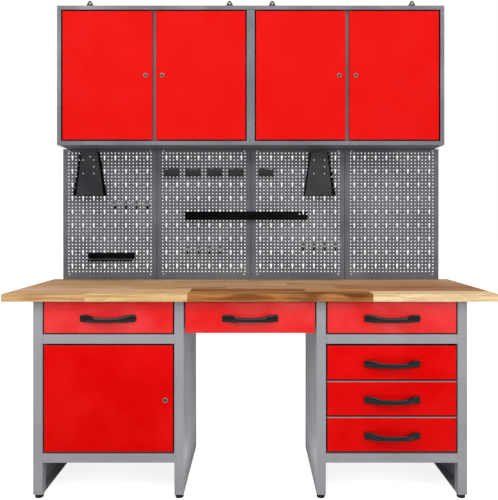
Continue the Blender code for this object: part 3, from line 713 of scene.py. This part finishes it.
# ---- worktop ----------------------------------------------------------------------------

# Staves from front to back: the far edge of the row, then (right end, colour, heartwood).
STAVES = (
    (-0.205, ((-0.63, "#C2A379", 0.1), (-0.24, "#CAAF81", 0.0), (0.47, "#A57647", 1.0),
              (0.95, "#D8C69F", 0.0))),
    (-0.115, ((-0.45, "#CAA992", 0.0), (-0.24, "#C8AD84", 0.1), (0.22, "#966740", 1.0),
              (0.47, "#B58A5A", 0.4), (0.95, "#AB7D5A", 0.2))),
    (-0.010, ((-0.50, "#C2A47E", 0.1), (-0.10, "#BB986F", 0.5), (0.36, "#B3916A", 0.1),
              (0.95, "#A47554", 0.3))),
    (0.100, ((-0.62, "#BB986F", 0.0), (-0.28, "#BC9C75", 0.4), (0.16, "#BFA17B", 0.1),
             (0.60, "#B3906A", 0.5), (0.95, "#AC8765", 0.1))),
    (0.200, ((-0.35, "#C0A17B", 0.2), (0.05, "#B6956E", 0.1), (0.52, "#BEA17D", 0.1),
             (0.95, "#B79673", 0.0))),
    (0.300, ((-0.55, "#B6946C", 0.0), (-0.02, "#C2A47E", 0.1), (0.42, "#B5936C", 0.0),
             (0.95, "#BEA17E", 0.1))),
)


def worktop():
    """One slab whose faces know the stave that they belong to."""
    low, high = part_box("worktop")
    rows = [low.y] + [far for far, _ in STAVES[:-1]] + [high.y]
    cuts = sorted({low.x, high.x} | {stave[0] for _, staves in STAVES for stave in staves[:-1]})
    builder = bmesh.new()
    levels = [[[builder.verts.new((x, y, z)) for x in cuts] for y in rows]
              for z in (low.z, high.z)]
    for grid in levels:
        for near, far in zip(grid, grid[1:]):
            for here in range(len(cuts) - 1):
                builder.faces.new((near[here], near[here + 1], far[here + 1], far[here]))
    for bottom, top in ([grid[0] for grid in levels], [grid[-1] for grid in levels],
                        [[row[0] for row in grid] for grid in levels],
                        [[row[-1] for row in grid] for grid in levels]):
        for here in range(len(bottom) - 1):
            builder.faces.new((bottom[here], bottom[here + 1], top[here + 1], top[here]))
    made = piece_from("glued_worktop", builder, wood)
    mesh = made.data
    names = ("stave_colour", "stave_seed", "stave_heart")
    for name, kind in zip(names, ("FLOAT_VECTOR", "FLOAT", "FLOAT")):
        mesh.attributes.new(name, kind, "FACE")
    colours, seeds, hearts = (mesh.attributes[name] for name in names)
    draw = random.Random(7)
    table = [[(end, linear(colour), heart, draw.uniform(0, 9)) for end, colour, heart in staves]
             for _, staves in STAVES]
    for face in mesh.polygons:
        x, y = face.center.x, min(max(face.center.y, rows[0] + MM), rows[-1] - MM)
        row = next(i for i, far in enumerate(rows[1:]) if y < far)
        _, colour, heart, seed = next(stave for stave in table[row]
                                      if x < stave[0] or stave is table[row][-1])
        colours.data[face.index].vector = colour[:3]
        seeds.data[face.index].value = seed
        hearts.data[face.index].value = heart
    rounded(made, 2 * MM, 3)
    place(made, "frame", "worktop")


worktop()

# ---- drawers ----------------------------------------------------------------------------

DRAWERS = ("left_top", "centre", "right_top", "right_2", "right_3", "right_4")
HANDLE_STATIONS, HANDLE_AROUND = 57, 20
FRONT_DROP = 2.0 * MM          # a front is this much shorter than its opening asks for
GRIP_DROP = 4.5 * MM           # the middle of the grip hangs below its feet
GRIP_SHARE = 0.72              # height of the grip over that of its feet
GRIP_THICKNESS = 10 * MM
FOOT_EXTRA = 1.5 * MM          # how far a foot stands past its place, above and below


def smooth_step(value):
    """Rise softly from 0 to 1."""
    value = min(max(value, 0.0), 1.0)
    return value * value * (3 - 2 * value)


def bow_handle(name, low, high):
    """Moulded bow handle: tall flat feet that sweep out and down into a slimmer grip."""
    middle_x, middle_z = (low.x + high.x) / 2, (low.z + high.z) / 2
    half, thick = (high.x - low.x) / 2, GRIP_THICKNESS / 2
    tall_foot = (high.z - low.z) / 2 + FOOT_EXTRA
    reach = high.y - low.y - 2 * thick
    builder = bmesh.new()
    rings = []
    for step in range(HANDLE_STATIONS):
        x = half * sin(pi / 2 * (2 * step / (HANDLE_STATIONS - 1) - 1))
        inset = half - abs(x)
        rise = smooth_step((inset - 14 * MM) / (50 * MM))
        slim = smooth_step((inset - 30 * MM) / (42 * MM))
        bow = rise * (0.78 + 0.22 * sqrt(inset / half))
        end = min(inset / (6 * MM), 1.0)
        end = 0.55 + 0.45 * sqrt(1 - (1 - end) ** 2)
        tall = tall_foot * (1 + (GRIP_SHARE - 1) * slim) * end
        deep = thick * end * (1 + 0.15 * rise)
        y = high.y - thick * (1 + 0.15 * rise) - reach * bow + 0.15 * thick * rise
        z = middle_z - GRIP_DROP * smooth_step(inset / half)
        ring = []
        for side in range(HANDLE_AROUND):
            turn = 2 * pi * (side + 0.5) / HANDLE_AROUND
            lean = [copysign(abs(value) ** (0.55 + 0.45 * rise), value)
                    for value in (cos(turn), sin(turn))]
            ring.append(builder.verts.new((middle_x + x, y + deep * lean[0],
                                           z + tall * lean[1])))
        rings.append(ring)
    for ring, following in zip(rings, rings[1:]):
        banded(builder, ring, following)
    builder.faces.new(rings[0])
    builder.faces.new(rings[-1])
    return smooth(piece_from(name, builder, grip_black), 50)


def drawers():
    """Fronts, handles and boxes, and light grey strips in the gaps between the three lower fronts,
    a painted highlight for the light caught on their top edges.
    """
    for label in DRAWERS:
        body = "drawer_" + label
        low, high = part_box("drawer_front_" + label)
        builder = tray_builder((low.x, low.z + FRONT_DROP), (high.x, high.z - FRONT_DROP / 2),
                               low.y, high.y - low.y)
        # The three top fronts take the red with painted glare, the lower ones the deep red.
        paint = bench_red if label[-1].isdigit() else glare_lit_red
        face = smooth(piece_from("drawer_face_" + label, builder, paint))
        place(face, body, "drawer_front_" + label)
        low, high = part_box("drawer_handle_" + label)
        place(bow_handle("bow_handle_" + label, low, high), body, "drawer_handle_" + label)
        softened("drawer_box_" + label, "drawer_tray_" + label, light_grey, 0.5 * MM, body)
    # Light grey strips in the gaps above the two lowest fronts: a painted highlight for the
    # catch-light on those fronts' top edges.
    strips = []
    for label in ("right_3", "right_4"):
        low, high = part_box("drawer_front_" + label)
        strip = block("strip", (low.x - 2 * MM, high.x + 2 * MM), (low.y + MM, low.y + 12 * MM),
                      (high.z - 0.7 * MM, high.z + 1.5 * MM), light_grey)
        strips.append(rounded(strip, 0.3 * MM, 1))
    place(joined("drawer_dividers", strips), "frame")


drawers()

# ---- doors and locks --------------------------------------------------------------------

DOORS = (("base_door", "base_door_lock", bench_red), ("wall_door_1", "wall_lock_1", wall_red),
         ("wall_door_2", "wall_lock_2", wall_red), ("wall_door_3", "wall_lock_3", wall_red),
         ("wall_door_4", "wall_lock_4", wall_red))
BEZEL_OUTER, BEZEL_INNER, BEZEL_STAND = 10 * MM, 7.3 * MM, 3 * MM
BARREL, BARREL_HOLE, PLUG = 8 * MM, 8.8 * MM, 7 * MM
NUT_OUTER, NUT_INNER = 11.5 * MM, 8.3 * MM
CAM_THICKNESS, CAM_HALF = 3 * MM, 9 * MM
PLUG_SUNK, KEYHOLE_DEPTH = 2.4 * MM, 2.2 * MM


def door_leaf(node, hinge, lock_x, lock_z, paint):
    """Folded door with the hole for its lock and a hinge pin at each end."""
    low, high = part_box(node)
    bottom, top = low.z + PIN_LENGTH, high.z - PIN_LENGTH
    leaf = piece_from(node + "_panel", tray_builder((low.x, bottom), (high.x, top), low.y,
                                                    high.y - low.y), paint)
    cut(leaf, rod("hole", (lock_x, lock_z), BARREL_HOLE, "Y", low.y - MM, low.y + 4 * MM, paint))
    pins = [rod("pin", hinge[:2], PIN_RADIUS, "Z", start, end, paint, 16)
            for start, end in ((low.z, bottom - AIR), (top + AIR, high.z))]
    return joined(node + "_leaf", [smooth(leaf)] + pins)


def lock_bezel(name, x, z, front):
    """Ring round the lock, and the hexagon nut that holds it behind the door."""
    lip = front - BEZEL_STAND
    profile = [(BEZEL_INNER, front - AIR), (BEZEL_INNER, lip + 0.5 * MM),
               (BEZEL_INNER + 0.5 * MM, lip), (BEZEL_OUTER - 1.2 * MM, lip),
               (BEZEL_OUTER - 0.3 * MM, lip + 0.6 * MM), (BEZEL_OUTER, lip + 1.5 * MM),
               (BEZEL_OUTER, front - AIR), (BEZEL_INNER, front - AIR)]
    ring = smooth(turned("ring", (x, z), profile, nickel))
    behind = front + STEEL + AIR
    nut = prism("nut", arc((x, z), NUT_OUTER, 6), "Y", behind, behind + 4 * MM, nickel)
    cut(nut, rod("hole", (x, z), NUT_INNER, "Y", behind - MM, behind + 5 * MM, nickel))
    return joined(name, [ring, rounded(nut, 0.4 * MM)])


def lock_plug(name, node, x, z, front):
    """Plug with its keyhole, barrel and cam: what the key turns."""
    low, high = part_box(node)
    face, back = front - BEZEL_STAND + PLUG_SUNK, high.y - CAM_THICKNESS + 0.3 * MM
    profile = [(0.0, face), (PLUG - 0.5 * MM, face), (PLUG, face + 0.5 * MM),
               (PLUG, front + MM), (BARREL, front + MM), (BARREL, back), (0.0, back)]
    plug = turned("plug", (x, z), profile, plug_nickel)
    start, end = face - MM, face + KEYHOLE_DEPTH
    cut(plug, block("slot", (x - 0.8 * MM, x + 0.8 * MM), (start, end),
                    (z - 3.4 * MM, z + 3.4 * MM), plug_nickel))
    cut(plug, rod("pit", (x, z + 1.2 * MM), 1.9 * MM, "Y", start, end, plug_nickel, 16))
    cam = prism("cam", arc((x, z), CAM_HALF, 12, 0.0, pi)
                + arc((x, low.z + CAM_HALF), CAM_HALF, 12, pi, pi),
                "Y", high.y - CAM_THICKNESS + 0.5 * MM, high.y, zinc)
    return joined(name, [smooth(plug), rounded(cam, 0.5 * MM)])


def doors():
    """Five doors, each with the ring of its lock, and the locks that turn in them."""
    for node, lock, paint in DOORS:
        hinge = joints[node + "_hinge"]["pos_m"]
        x, front, z = joints[lock + "_turn"]["pos_m"]
        place(door_leaf(node, hinge, x, z, paint), node, node)
        place(lock_bezel(node + "_bezel", x, z, front), node)
        place(lock_plug(lock + "_plug", lock, x, z, front), lock, lock)


doors()

# ---- pedestals --------------------------------------------------------------------------


def dome_bolt(name, direction):
    """Domed bolt head that faces along X, with a hexagon socket."""
    radius, height = 5.5 * MM, 3.0 * MM
    profile = [(0.0, direction * height)]
    profile += [(radius * sin(turn), direction * (0.2 + 0.8 * cos(turn)) * height)
                for turn in (pi / 10, pi / 5, 3 * pi / 10, 2 * pi / 5, pi / 2)]
    profile += [(radius, direction * AIR), (0.0, direction * AIR)]
    head = turned(name, (0.0, 0.0), profile, zinc, sides=20, axis="X")
    cut(head, prism("socket", arc((0, 0), 2.3 * MM, 6), "X", direction * height * 0.4,
                    direction * 2 * height, zinc))
    return smooth(head)


def glider(name):
    """Foot: a rubber puck with a rounded rim and a narrow neck under its post."""
    low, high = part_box("foot_1_front")
    radius, top = (high.x - low.x) / 2, high.z - low.z
    rim = 3.5 * MM
    profile = [(0.0, 0.0)]
    profile += [(radius - rim + rim * sin(turn), rim - rim * cos(turn))
                for turn in (0, pi / 8, pi / 4, 3 * pi / 8, pi / 2)]
    profile += [(radius, top - 4 * MM), (radius - 1.5 * MM, top - 3 * MM),
                (radius - 1.5 * MM, top), (0.0, top)]
    return smooth(turned(name, (0.0, 0.0), profile, rubber, sides=28, axis="Z"))


ROOF = 2.058                   # upper face of the wall cabinets
LUG_HALF, LUG_INSET, LUG_HOLE = 20.5 * MM, 102.85 * MM, 3.6 * MM
LUG_SHOULDER, LUG_NOSE = 28.6 * MM, 9 * MM     # below the top of the lug; radius of its nose
SEAM_LENGTH, SEAM_DEPTH = 19 * MM, 1.5 * MM    # at both ends of the top rail, where posts end
SEAM_DROP, SEAM_WIDTH = 18 * MM, 1.2 * MM      # its middle, below the roof
FOLD = 0.7 * MM                # rounding of the folds
KNEE_HALF = 0.258              # half the width of the kneehole
BOLT_HEIGHT, BOLT_ROW = 0.1655, (-0.214, -0.010, 0.189)


def cabinet(node):
    """Cabinet body with a seam under its top rail, and its two hanging lugs."""
    low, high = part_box(node)
    tools = [block("above", (low.x - MM, high.x + MM), (low.y, high.y + MM),
                   (ROOF + AIR, high.z + MM), slate_grey)]
    middle = ROOF - SEAM_DROP
    tools += [block("seam", (side - SEAM_LENGTH, side + SEAM_LENGTH),
                    (low.y - MM, low.y + SEAM_DEPTH),
                    (middle - SEAM_WIDTH / 2, middle + SEAM_WIDTH / 2), slate_grey)
              for side in (low.x, high.x)]
    softened(node, node + "_body", slate_grey, FOLD, tools=tools)
    lugs = []
    for side, edge in ((1, low.x), (-1, high.x)):
        x = edge + side * LUG_INSET
        nose = (x, high.z - LUG_NOSE)
        outline = [(x - LUG_HALF, ROOF + 2 * AIR), (x + LUG_HALF, ROOF + 2 * AIR),
                   (x + LUG_HALF, high.z - LUG_SHOULDER)]
        outline += arc(nose, LUG_NOSE, 9, radians(25), radians(130))
        outline.append((x - LUG_HALF, high.z - LUG_SHOULDER))
        lug = prism("lug", outline, "Y", high.y - 2.8 * MM, high.y - 0.8 * MM, dark_slate)
        cut(lug, rod("hole", (x, high.z - LUG_NOSE - 3 * MM), LUG_HOLE, "Y", high.y - 5 * MM,
                     high.y + MM, dark_slate, 20))
        lugs.append(rounded(lug, 0.4 * MM, 1))
    place(joined(node + "_lugs", lugs), "frame")


def pedestals():
    """Folded sheet parts of the bench, the wall cabinets, the feet and the bolts."""
    for side in ("left_outer", "left_inner", "right_inner", "right_outer"):
        softened("side_panel_" + side, "folded_side_" + side, light_grey, FOLD)
    for side in ("left", "right"):
        for part in ("floor_", "middle_rail_", "back_panel_"):
            softened(part + side, "folded_" + part + side, light_grey, FOLD)
        cabinet("wall_cabinet_" + side)
    softened("shelf_left", "folded_shelf", light_grey, FOLD)
    softened("rear_beam", "folded_rear_beam", light_grey, FOLD)
    feet = [f"foot_{number}_{row}" for number in (1, 2, 3, 4) for row in ("front", "rear")]
    spots = []
    for node in feet:
        low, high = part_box(node)
        spots.append(((low.x + high.x) / 2, (low.y + high.y) / 2, low.z))
    place(repeated("gliders", glider("glider"), spots, rubber), "frame", *feet)
    for name, direction, places in (
            ("bolts_facing_left", -1, (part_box("side_panel_left_outer")[0].x, KNEE_HALF)),
            ("bolts_facing_right", 1, (-KNEE_HALF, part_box("side_panel_right_outer")[1].x))):
        spots = [(x, y, BOLT_HEIGHT) for x in places for y in BOLT_ROW]
        place(repeated(name, dome_bolt("bolt", direction), spots, zinc), "frame")


pedestals()

# ---- tool holders -----------------------------------------------------------------------

HOLDER_TOP = 44.5 * MM         # half its width at the top
TEETH, TOOTH_PITCH, TOOTH_DEPTH = 8, 26 * MM, 10 * MM
TOOTHED_DEPTH = 5 * MM         # how far the toothed flange goes back
SMALL_HOLE = 2.3 * MM
# Holes of the plates line up with the panel's for an eye 2.5 m away at this height.
TOWARDS, EYE_LEVEL = 0.987, 1.07


def splayed_flange(name, edge, far, front, back, material):
    """Flange between two outlines in X and Z: its folded edge and its free edge behind."""
    inward = copysign(STEEL, edge[0][0] - far[0][0])
    outline = [(x, front, z) for x, z in edge]
    for x, z in reversed(far):
        share = (x - edge_at(edge, z)) / (edge_at(far, z) - edge_at(edge, z))
        outline.append((x, front + (back - front) * min(max(share, 0.0), 1.0), z))
    builder = bmesh.new()
    rings = [[builder.verts.new((x + shift, y, z)) for x, y, z in outline]
             for shift in (0.0, inward)]
    for ring in rings:
        builder.faces.new(ring)
    banded(builder, *rings)
    return piece_from(name, builder, material)


def edge_at(line, z):
    """X at a height of the straight line from the first to the last (x, z) point."""
    (x0, z0), (x1, z1) = line[0], line[-1]
    return x0 + (x1 - x0) * (z - z0) / (z1 - z0)


def wrench_holder(node, toothed, holes, panel):
    """Tapered plate with small holes, a saw-toothed flange outside and a plain one inside.

    toothed is -1 or 1: the side of the teeth.
    """
    low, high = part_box(node)
    middle = (low.x + high.x) / 2
    half_bottom = (high.x - low.x) / 2
    top, bottom, front, back = high.z, low.z, low.y, high.y - AIR

    def slanted(side, top_inset, bottom_inset):
        """Edge on one side, set in from the outline of the whole holder."""
        return [(middle + side * (HOLDER_TOP - top_inset), top),
                (middle + side * (half_bottom - bottom_inset), bottom)]

    fold = slanted(toothed, 11 * MM, 18 * MM)
    plain_fold = slanted(-toothed, 4 * MM, 7 * MM)
    plate = prism("plate", [fold[0], (fold[1][0], bottom + STEEL),
                            (plain_fold[1][0], bottom + STEEL), plain_fold[0]],
                  "Y", front, front + STEEL, plate_black)
    for column, row in holes:
        x, z = hole_at(panel, column, row)
        cut(plate, rod("hole", (x * TOWARDS, EYE_LEVEL + (z - EYE_LEVEL) * TOWARDS), SMALL_HOLE,
                       "Y", front - MM, front + 2 * MM, plate_black, 16))
    pieces = [rounded(plate, 0.3 * MM, 1)]

    line = slanted(toothed, 0.0, 0.0)
    far = [line[0]]
    for tooth in range(TEETH - 1):
        z = top - 14 * MM - TOOTH_PITCH * tooth
        far += [(edge_at(line, z + 12 * MM), z + 12 * MM),
                (edge_at(line, z) - toothed * TOOTH_DEPTH, z - 4 * MM), (edge_at(line, z), z)]
    far.append(line[1])
    pieces.append(splayed_flange("teeth", fold, far, front + STEEL, front + TOOTHED_DEPTH,
                                 black_coat))
    pieces.append(splayed_flange("plain", plain_fold, slanted(-toothed, 0.0, 0.0),
                                 front + STEEL, back, black_coat))
    half_hem = half_bottom - 20 * MM
    pieces.append(block("hem", (middle - half_hem, middle + half_hem),
                        (front, back - 10 * MM), (bottom, bottom + STEEL), black_coat))
    place(joined(node + "_plate", pieces), "frame", node)


def trough(name, low, high, wall):
    """Sheet folded into a U, open at the top, between two corners of its box."""
    bend = 2.5 * MM
    outer = [(low.y, wall)] + arc((low.y + bend, low.z + bend), bend, 5, pi, pi / 2)
    outer += arc((high.y - bend, low.z + bend), bend, 5, -pi / 2, pi / 2) + [(high.y, wall)]
    inside = bend - STEEL
    inner = [(high.y - STEEL, wall)]
    inner += arc((high.y - bend, low.z + bend), inside, 5, 0.0, -pi / 2)
    inner += arc((low.y + bend, low.z + bend), inside, 5, -pi / 2, -pi / 2)
    inner += [(low.y + STEEL, wall)]
    return prism(name, outer + inner, "X", low.x, high.x, black_coat)


SHORT_RAIL_LOW, SHORT_RAIL_HOLES = 0.901, 0.9175       # heights


def tool_rails():
    """Long rail in two lengths, and the short rail with the strip under it."""
    low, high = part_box("tool_rail_long_left")
    high.y -= AIR
    rail = trough("long_trough_left", low, high, high.z)
    place(rounded(rail, 0.4 * MM, 1), "frame", "tool_rail_long_left")

    # The right length has its front flange cut away over the last holes of its back.
    low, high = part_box("tool_rail_long_right")
    high.y -= AIR
    rail = trough("long_trough_right", low, high, high.z)
    cut(rail, block("notch", (high.x - 48 * MM, high.x + MM), (low.y - MM, low.y + 5 * MM),
                    (high.z - 22 * MM, high.z + MM), black_coat))
    corner = [(high.x - 12 * MM, low.z - MM), (high.x + MM, low.z - MM),
              (high.x + MM, low.z + 12 * MM)]
    cut(rail, prism("corner", corner, "Y", low.y - MM, high.y - 3 * MM, black_coat))
    for column in (12, 13, 14):
        x, z = hole_at(3, column, 18)
        keyhole = column % 3 == 1
        cut(rail, rod("hole", (x, z), KEYHOLE_SLOT if keyhole else HOLE_RADIUS, "Y",
                      high.y - 4 * MM, high.y + MM, black_coat, 16))
        if keyhole:
            cut(rail, block("slot", (x - KEYHOLE_SLOT, x + KEYHOLE_SLOT),
                            (high.y - 4 * MM, high.y + MM), (z, high.z + MM), black_coat))
    place(rounded(rail, 0.4 * MM, 1), "frame", "tool_rail_long_right")

    low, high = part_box("tool_rail_short")
    rail_low = Vector((low.x + 10 * MM, low.y, SHORT_RAIL_LOW))
    rail_high = Vector((high.x, high.y - AIR, high.z))
    rail = trough("short_trough", rail_low, rail_high, high.z)
    radius = 10 * MM
    nook = [(rail_low.x - MM, rail_low.z - MM), (rail_low.x + radius, rail_low.z - MM)]
    nook += arc((rail_low.x + radius, rail_low.z + radius), radius, 7, -pi / 2, -pi / 2)
    nook += [(rail_low.x - MM, rail_low.z + radius)]
    cut(rail, prism("nook", nook, "Y", low.y - MM, high.y - 3 * MM, black_coat))
    for x in (high.x - 30 * MM, high.x - 15 * MM):
        cut(rail, rod("hole", (x, SHORT_RAIL_HOLES), SMALL_HOLE, "Y", low.y - MM,
                      low.y + 3 * MM, black_coat, 16))
    strip = block("strip", (low.x, high.x - 10 * MM), (high.y - 10 * MM, high.y - AIR),
                  (low.z, low.z + 7 * MM), black_coat)
    rail = joined("short_rail", [rounded(rail, 0.4 * MM, 1), rounded(strip, 1.2 * MM)])
    place(rail, "frame", "tool_rail_short")


CLIP_BOTTOM, CLIP_HALF = 1.291, 36.5 * MM
# Place of each clip, and its top edge in mm from its middle and its bottom, left to right.
CLIPS = (
    (-0.376, ((-43, 43), (-36, 42), (-27, 33), (-16, 34), (-13, 42), (7, 43), (12, 36), (20, 36),
              (24, 42), (31, 40), (36.5, 30))),
    (-0.275, ((-36.5, 39), (-24, 40), (-20, 33), (17, 33), (22, 39), (36, 38), (36.5, 31))),
    (-0.173, ((-38, 41), (-27, 42), (-22, 34), (-10, 35), (-6, 42), (11, 43), (15, 35),
              (24, 35), (27, 41), (38, 42), (36.5, 33))),
    (-0.072, ((-36.5, 37), (-27, 38), (-20, 33), (-10, 34), (-5, 41), (14, 41), (19, 35),
              (26, 35), (41, 39), (36.5, 32))),
    (0.073, ((-36.5, 33), (-26, 41), (-10, 41), (-5, 33), (22, 33), (48, 39), (50, 37),
             (36.5, 30))),
)


def clip_holders():
    """Moulded spring clips: a body with jaws of its own, two ribs and a foot behind."""
    pieces = []
    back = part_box("tool_rail_long_left")[1].y - AIR
    for x, top in CLIPS:
        outline = [(x + side * (CLIP_HALF - inset), CLIP_BOTTOM + rise)
                   for side, inset, rise in ((1, 0.0, 2 * MM), (1, 2 * MM, 0.0),
                                             (-1, 2 * MM, 0.0), (-1, 0.0, 2 * MM))]
        outline += [(x + a * MM, CLIP_BOTTOM + b * MM) for a, b in top]
        jaw = prism("jaw", outline, "Y", back - 24 * MM, back - 17 * MM, grip_black)
        body = block("body", (x - 34 * MM, x + 34 * MM), (back - 17 * MM, back),
                     (CLIP_BOTTOM + MM, CLIP_BOTTOM + 29 * MM), grip_black)
        ribs = [block("rib", (x + side - 1.6 * MM, x + side + 1.6 * MM),
                      (back - 26 * MM, back - 24 * MM - AIR),
                      (CLIP_BOTTOM + 5 * MM, CLIP_BOTTOM + 30 * MM), grip_black)
                for side in (-26 * MM, 26 * MM)]
        pieces += [rounded(part, 0.8 * MM) for part in [jaw, body] + ribs]
    place(joined("clip_holders", pieces), "frame")


# Panel, columns and height of each row of hooks.
HOOK_SETS = ((1, (13, 16, 19, 22), 1.1585), (2, (7, 10, 13, 16), 0.9450),
             (3, (13, 16, 19, 22), 0.9590))


def double_hooks():
    """Double hooks: a back plate, and two chromed bars that spread, reach out and turn up."""
    plate = rounded(block("plate", (-7 * MM, 7 * MM), (-2 * MM, -AIR), (-6 * MM, 20 * MM),
                          dull_zinc), 0.5 * MM)
    path = ((3, -2.2, 0), (5, -6, 0), (9, -15, 0), (12.5, -22, 0.3), (15, -26.5, 2),
            (16.6, -29, 5), (17.6, -30, 8.5))           # of the right arm, in mm
    arms = [swept("arm", [(side * x * MM, y * MM, z * MM) for x, y, z in path], 2.6 * MM, chrome)
            for side in (-1, 1)]
    cross = swept("cross", [(-8 * MM, -4.6 * MM, -0.6 * MM), (8 * MM, -4.6 * MM, -0.6 * MM)],
                  2.2 * MM, chrome)
    hook = joined("hook", [cross] + arms)
    # Below each plate, a tongue of the plate painted black: painted shade under the hook.
    tail = rounded(block("tail", (-3.5 * MM, 3.5 * MM), (-4 * MM, -AIR), (-24 * MM, -6.5 * MM),
                         black_coat), 1.2 * MM)
    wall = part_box("tool_rail_long_left")[1].y
    spots = [(hole_at(panel, column, 0)[0], wall, z)
             for panel, columns, z in HOOK_SETS for column in columns]
    for name, item, coat in (("double_hooks", hook, chrome), ("hook_plates", plate, dull_zinc),
                             ("hook_lock_tails", tail, black_coat)):
        place(repeated(name, item, spots, coat, turn=0.07, seed=4), "frame")


def tool_holders():
    """All that hangs on the panels."""
    wrench_holder("wrench_holder_left", -1, ((6, 1), (4, 2), (7, 2), (7, 4), (4, 6), (7, 6)), 1)
    wrench_holder("wrench_holder_right", 1, ((16, 2), (19, 2), (19, 4), (16, 6), (19, 6)), 3)
    tool_rails()
    clip_holders()
    double_hooks()


def joint_strips():
    """Flat straps on the wall behind the joints of the panels, which close the view."""
    low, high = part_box("pegboard_1")
    strips = [block("strap", (x - 9 * MM, x + 9 * MM), (high.y - MM, high.y - AIR),
                    (low.z + 2 * MM, high.z - 2 * MM), slate_grey)
              for x in (-PANEL_PITCH, 0.0, PANEL_PITCH)]
    place(joined("joint_straps", [rounded(strip, 0.2 * MM, 1) for strip in strips]), "frame")


tool_holders()
joint_strips()

# ---- stage ------------------------------------------------------------------------------

EYE = (0.015, -2.54, 1.072)
LENS = 42.32
SHIFT = (-0.0100, -0.0547)
FLOOR_GLOW = 0.80
AMBIENT = 0.48
# Name, place, aim, width and height, and watts.
LIGHTS = (
    ("key", (-2.6, -2.9, 3.5), (0.0, 0.0, 1.2), (2.6, 1.8), 70.0),
    ("fill", (2.8, -2.8, 2.2), (0.0, 0.0, 1.0), (2.4, 2.4), 44.0),
    ("top", (0.0, -0.6, 4.2), (0.0, 0.0, 0.0), (3.6, 2.4), 50.0),
    ("rim", (0.0, -3.0, 3.7), (0.0, 0.1, 2.0), (4.2, 0.6), 36.0),
    ("shelf", (0.0, -1.0, 0.95), (0.0, 0.25, 1.45), (2.6, 0.3), 4.0),
    ("knee", (0.0, -0.05, 0.03), (0.0, -0.05, 1.0), (0.3, 0.5), 1.0),
    ("strip", (0.0, -3.0, 1.75), (0.0, 0.0, 0.9), (3.4, 0.2), 8.0),
)


def studio():
    """Pale floor, white surroundings, soft lights and the camera."""
    builder = bmesh.new()
    bmesh.ops.create_grid(builder, x_segments=1, y_segments=1, size=30)
    material, tree, shader, _ = start_material("pale_floor")
    shader.inputs["Base Color"].default_value = (0.8, 0.8, 0.8, 1.0)
    shader.inputs["Roughness"].default_value = 0.9
    shader.inputs["Emission Color"].default_value = (1.0, 1.0, 1.0, 1.0)
    seen = add(tree, "ShaderNodeLightPath")
    glow = add(tree, "ShaderNodeMath", [(seen, "Is Camera Ray"), FLOOR_GLOW],
               operation="MULTIPLY")
    tree.links.new(glow.outputs[0], shader.inputs["Emission Strength"])
    floor = piece_from("floor", builder, material)
    world = bpy.data.worlds.new("studio")
    bpy.context.scene.world = world
    world.use_nodes = True
    tree = world.node_tree
    tree.nodes.clear()
    path = add(tree, "ShaderNodeLightPath")
    seen = add(tree, "ShaderNodeBackground", {"Color": (1, 1, 1, 1), "Strength": 1.0})
    lighting = add(tree, "ShaderNodeBackground", {"Color": (1, 1, 1, 1), "Strength": AMBIENT})
    both = add(tree, "ShaderNodeMixShader", [(path, "Is Camera Ray"), lighting, seen])
    add(tree, "ShaderNodeOutputWorld", {"Surface": both})
    for name, spot, aim, size, power in LIGHTS:
        data = bpy.data.lights.new(name, "AREA")
        data.shape = "RECTANGLE"
        data.size, data.size_y = size
        data.energy = power
        lamp = bpy.data.objects.new(name, data)
        lamp.location = spot
        lamp.visible_camera = False
        lamp.rotation_mode = "QUATERNION"
        lamp.rotation_quaternion = (Vector(aim) - Vector(spot)).to_track_quat("-Z", "Y")
        bpy.context.scene.collection.objects.link(lamp)
    data = bpy.data.cameras.new("camera")
    data.lens = LENS
    data.sensor_width = 36.0
    data.shift_x, data.shift_y = SHIFT
    data.clip_end = 100.0
    camera = bpy.data.objects.new("camera", data)
    camera.location = EYE
    camera.rotation_euler = (pi / 2, 0.0, 0.0)
    bpy.context.scene.collection.objects.link(camera)
    bpy.context.scene.camera = camera
    bpy.context.scene.view_settings.view_transform = "Standard"


studio()
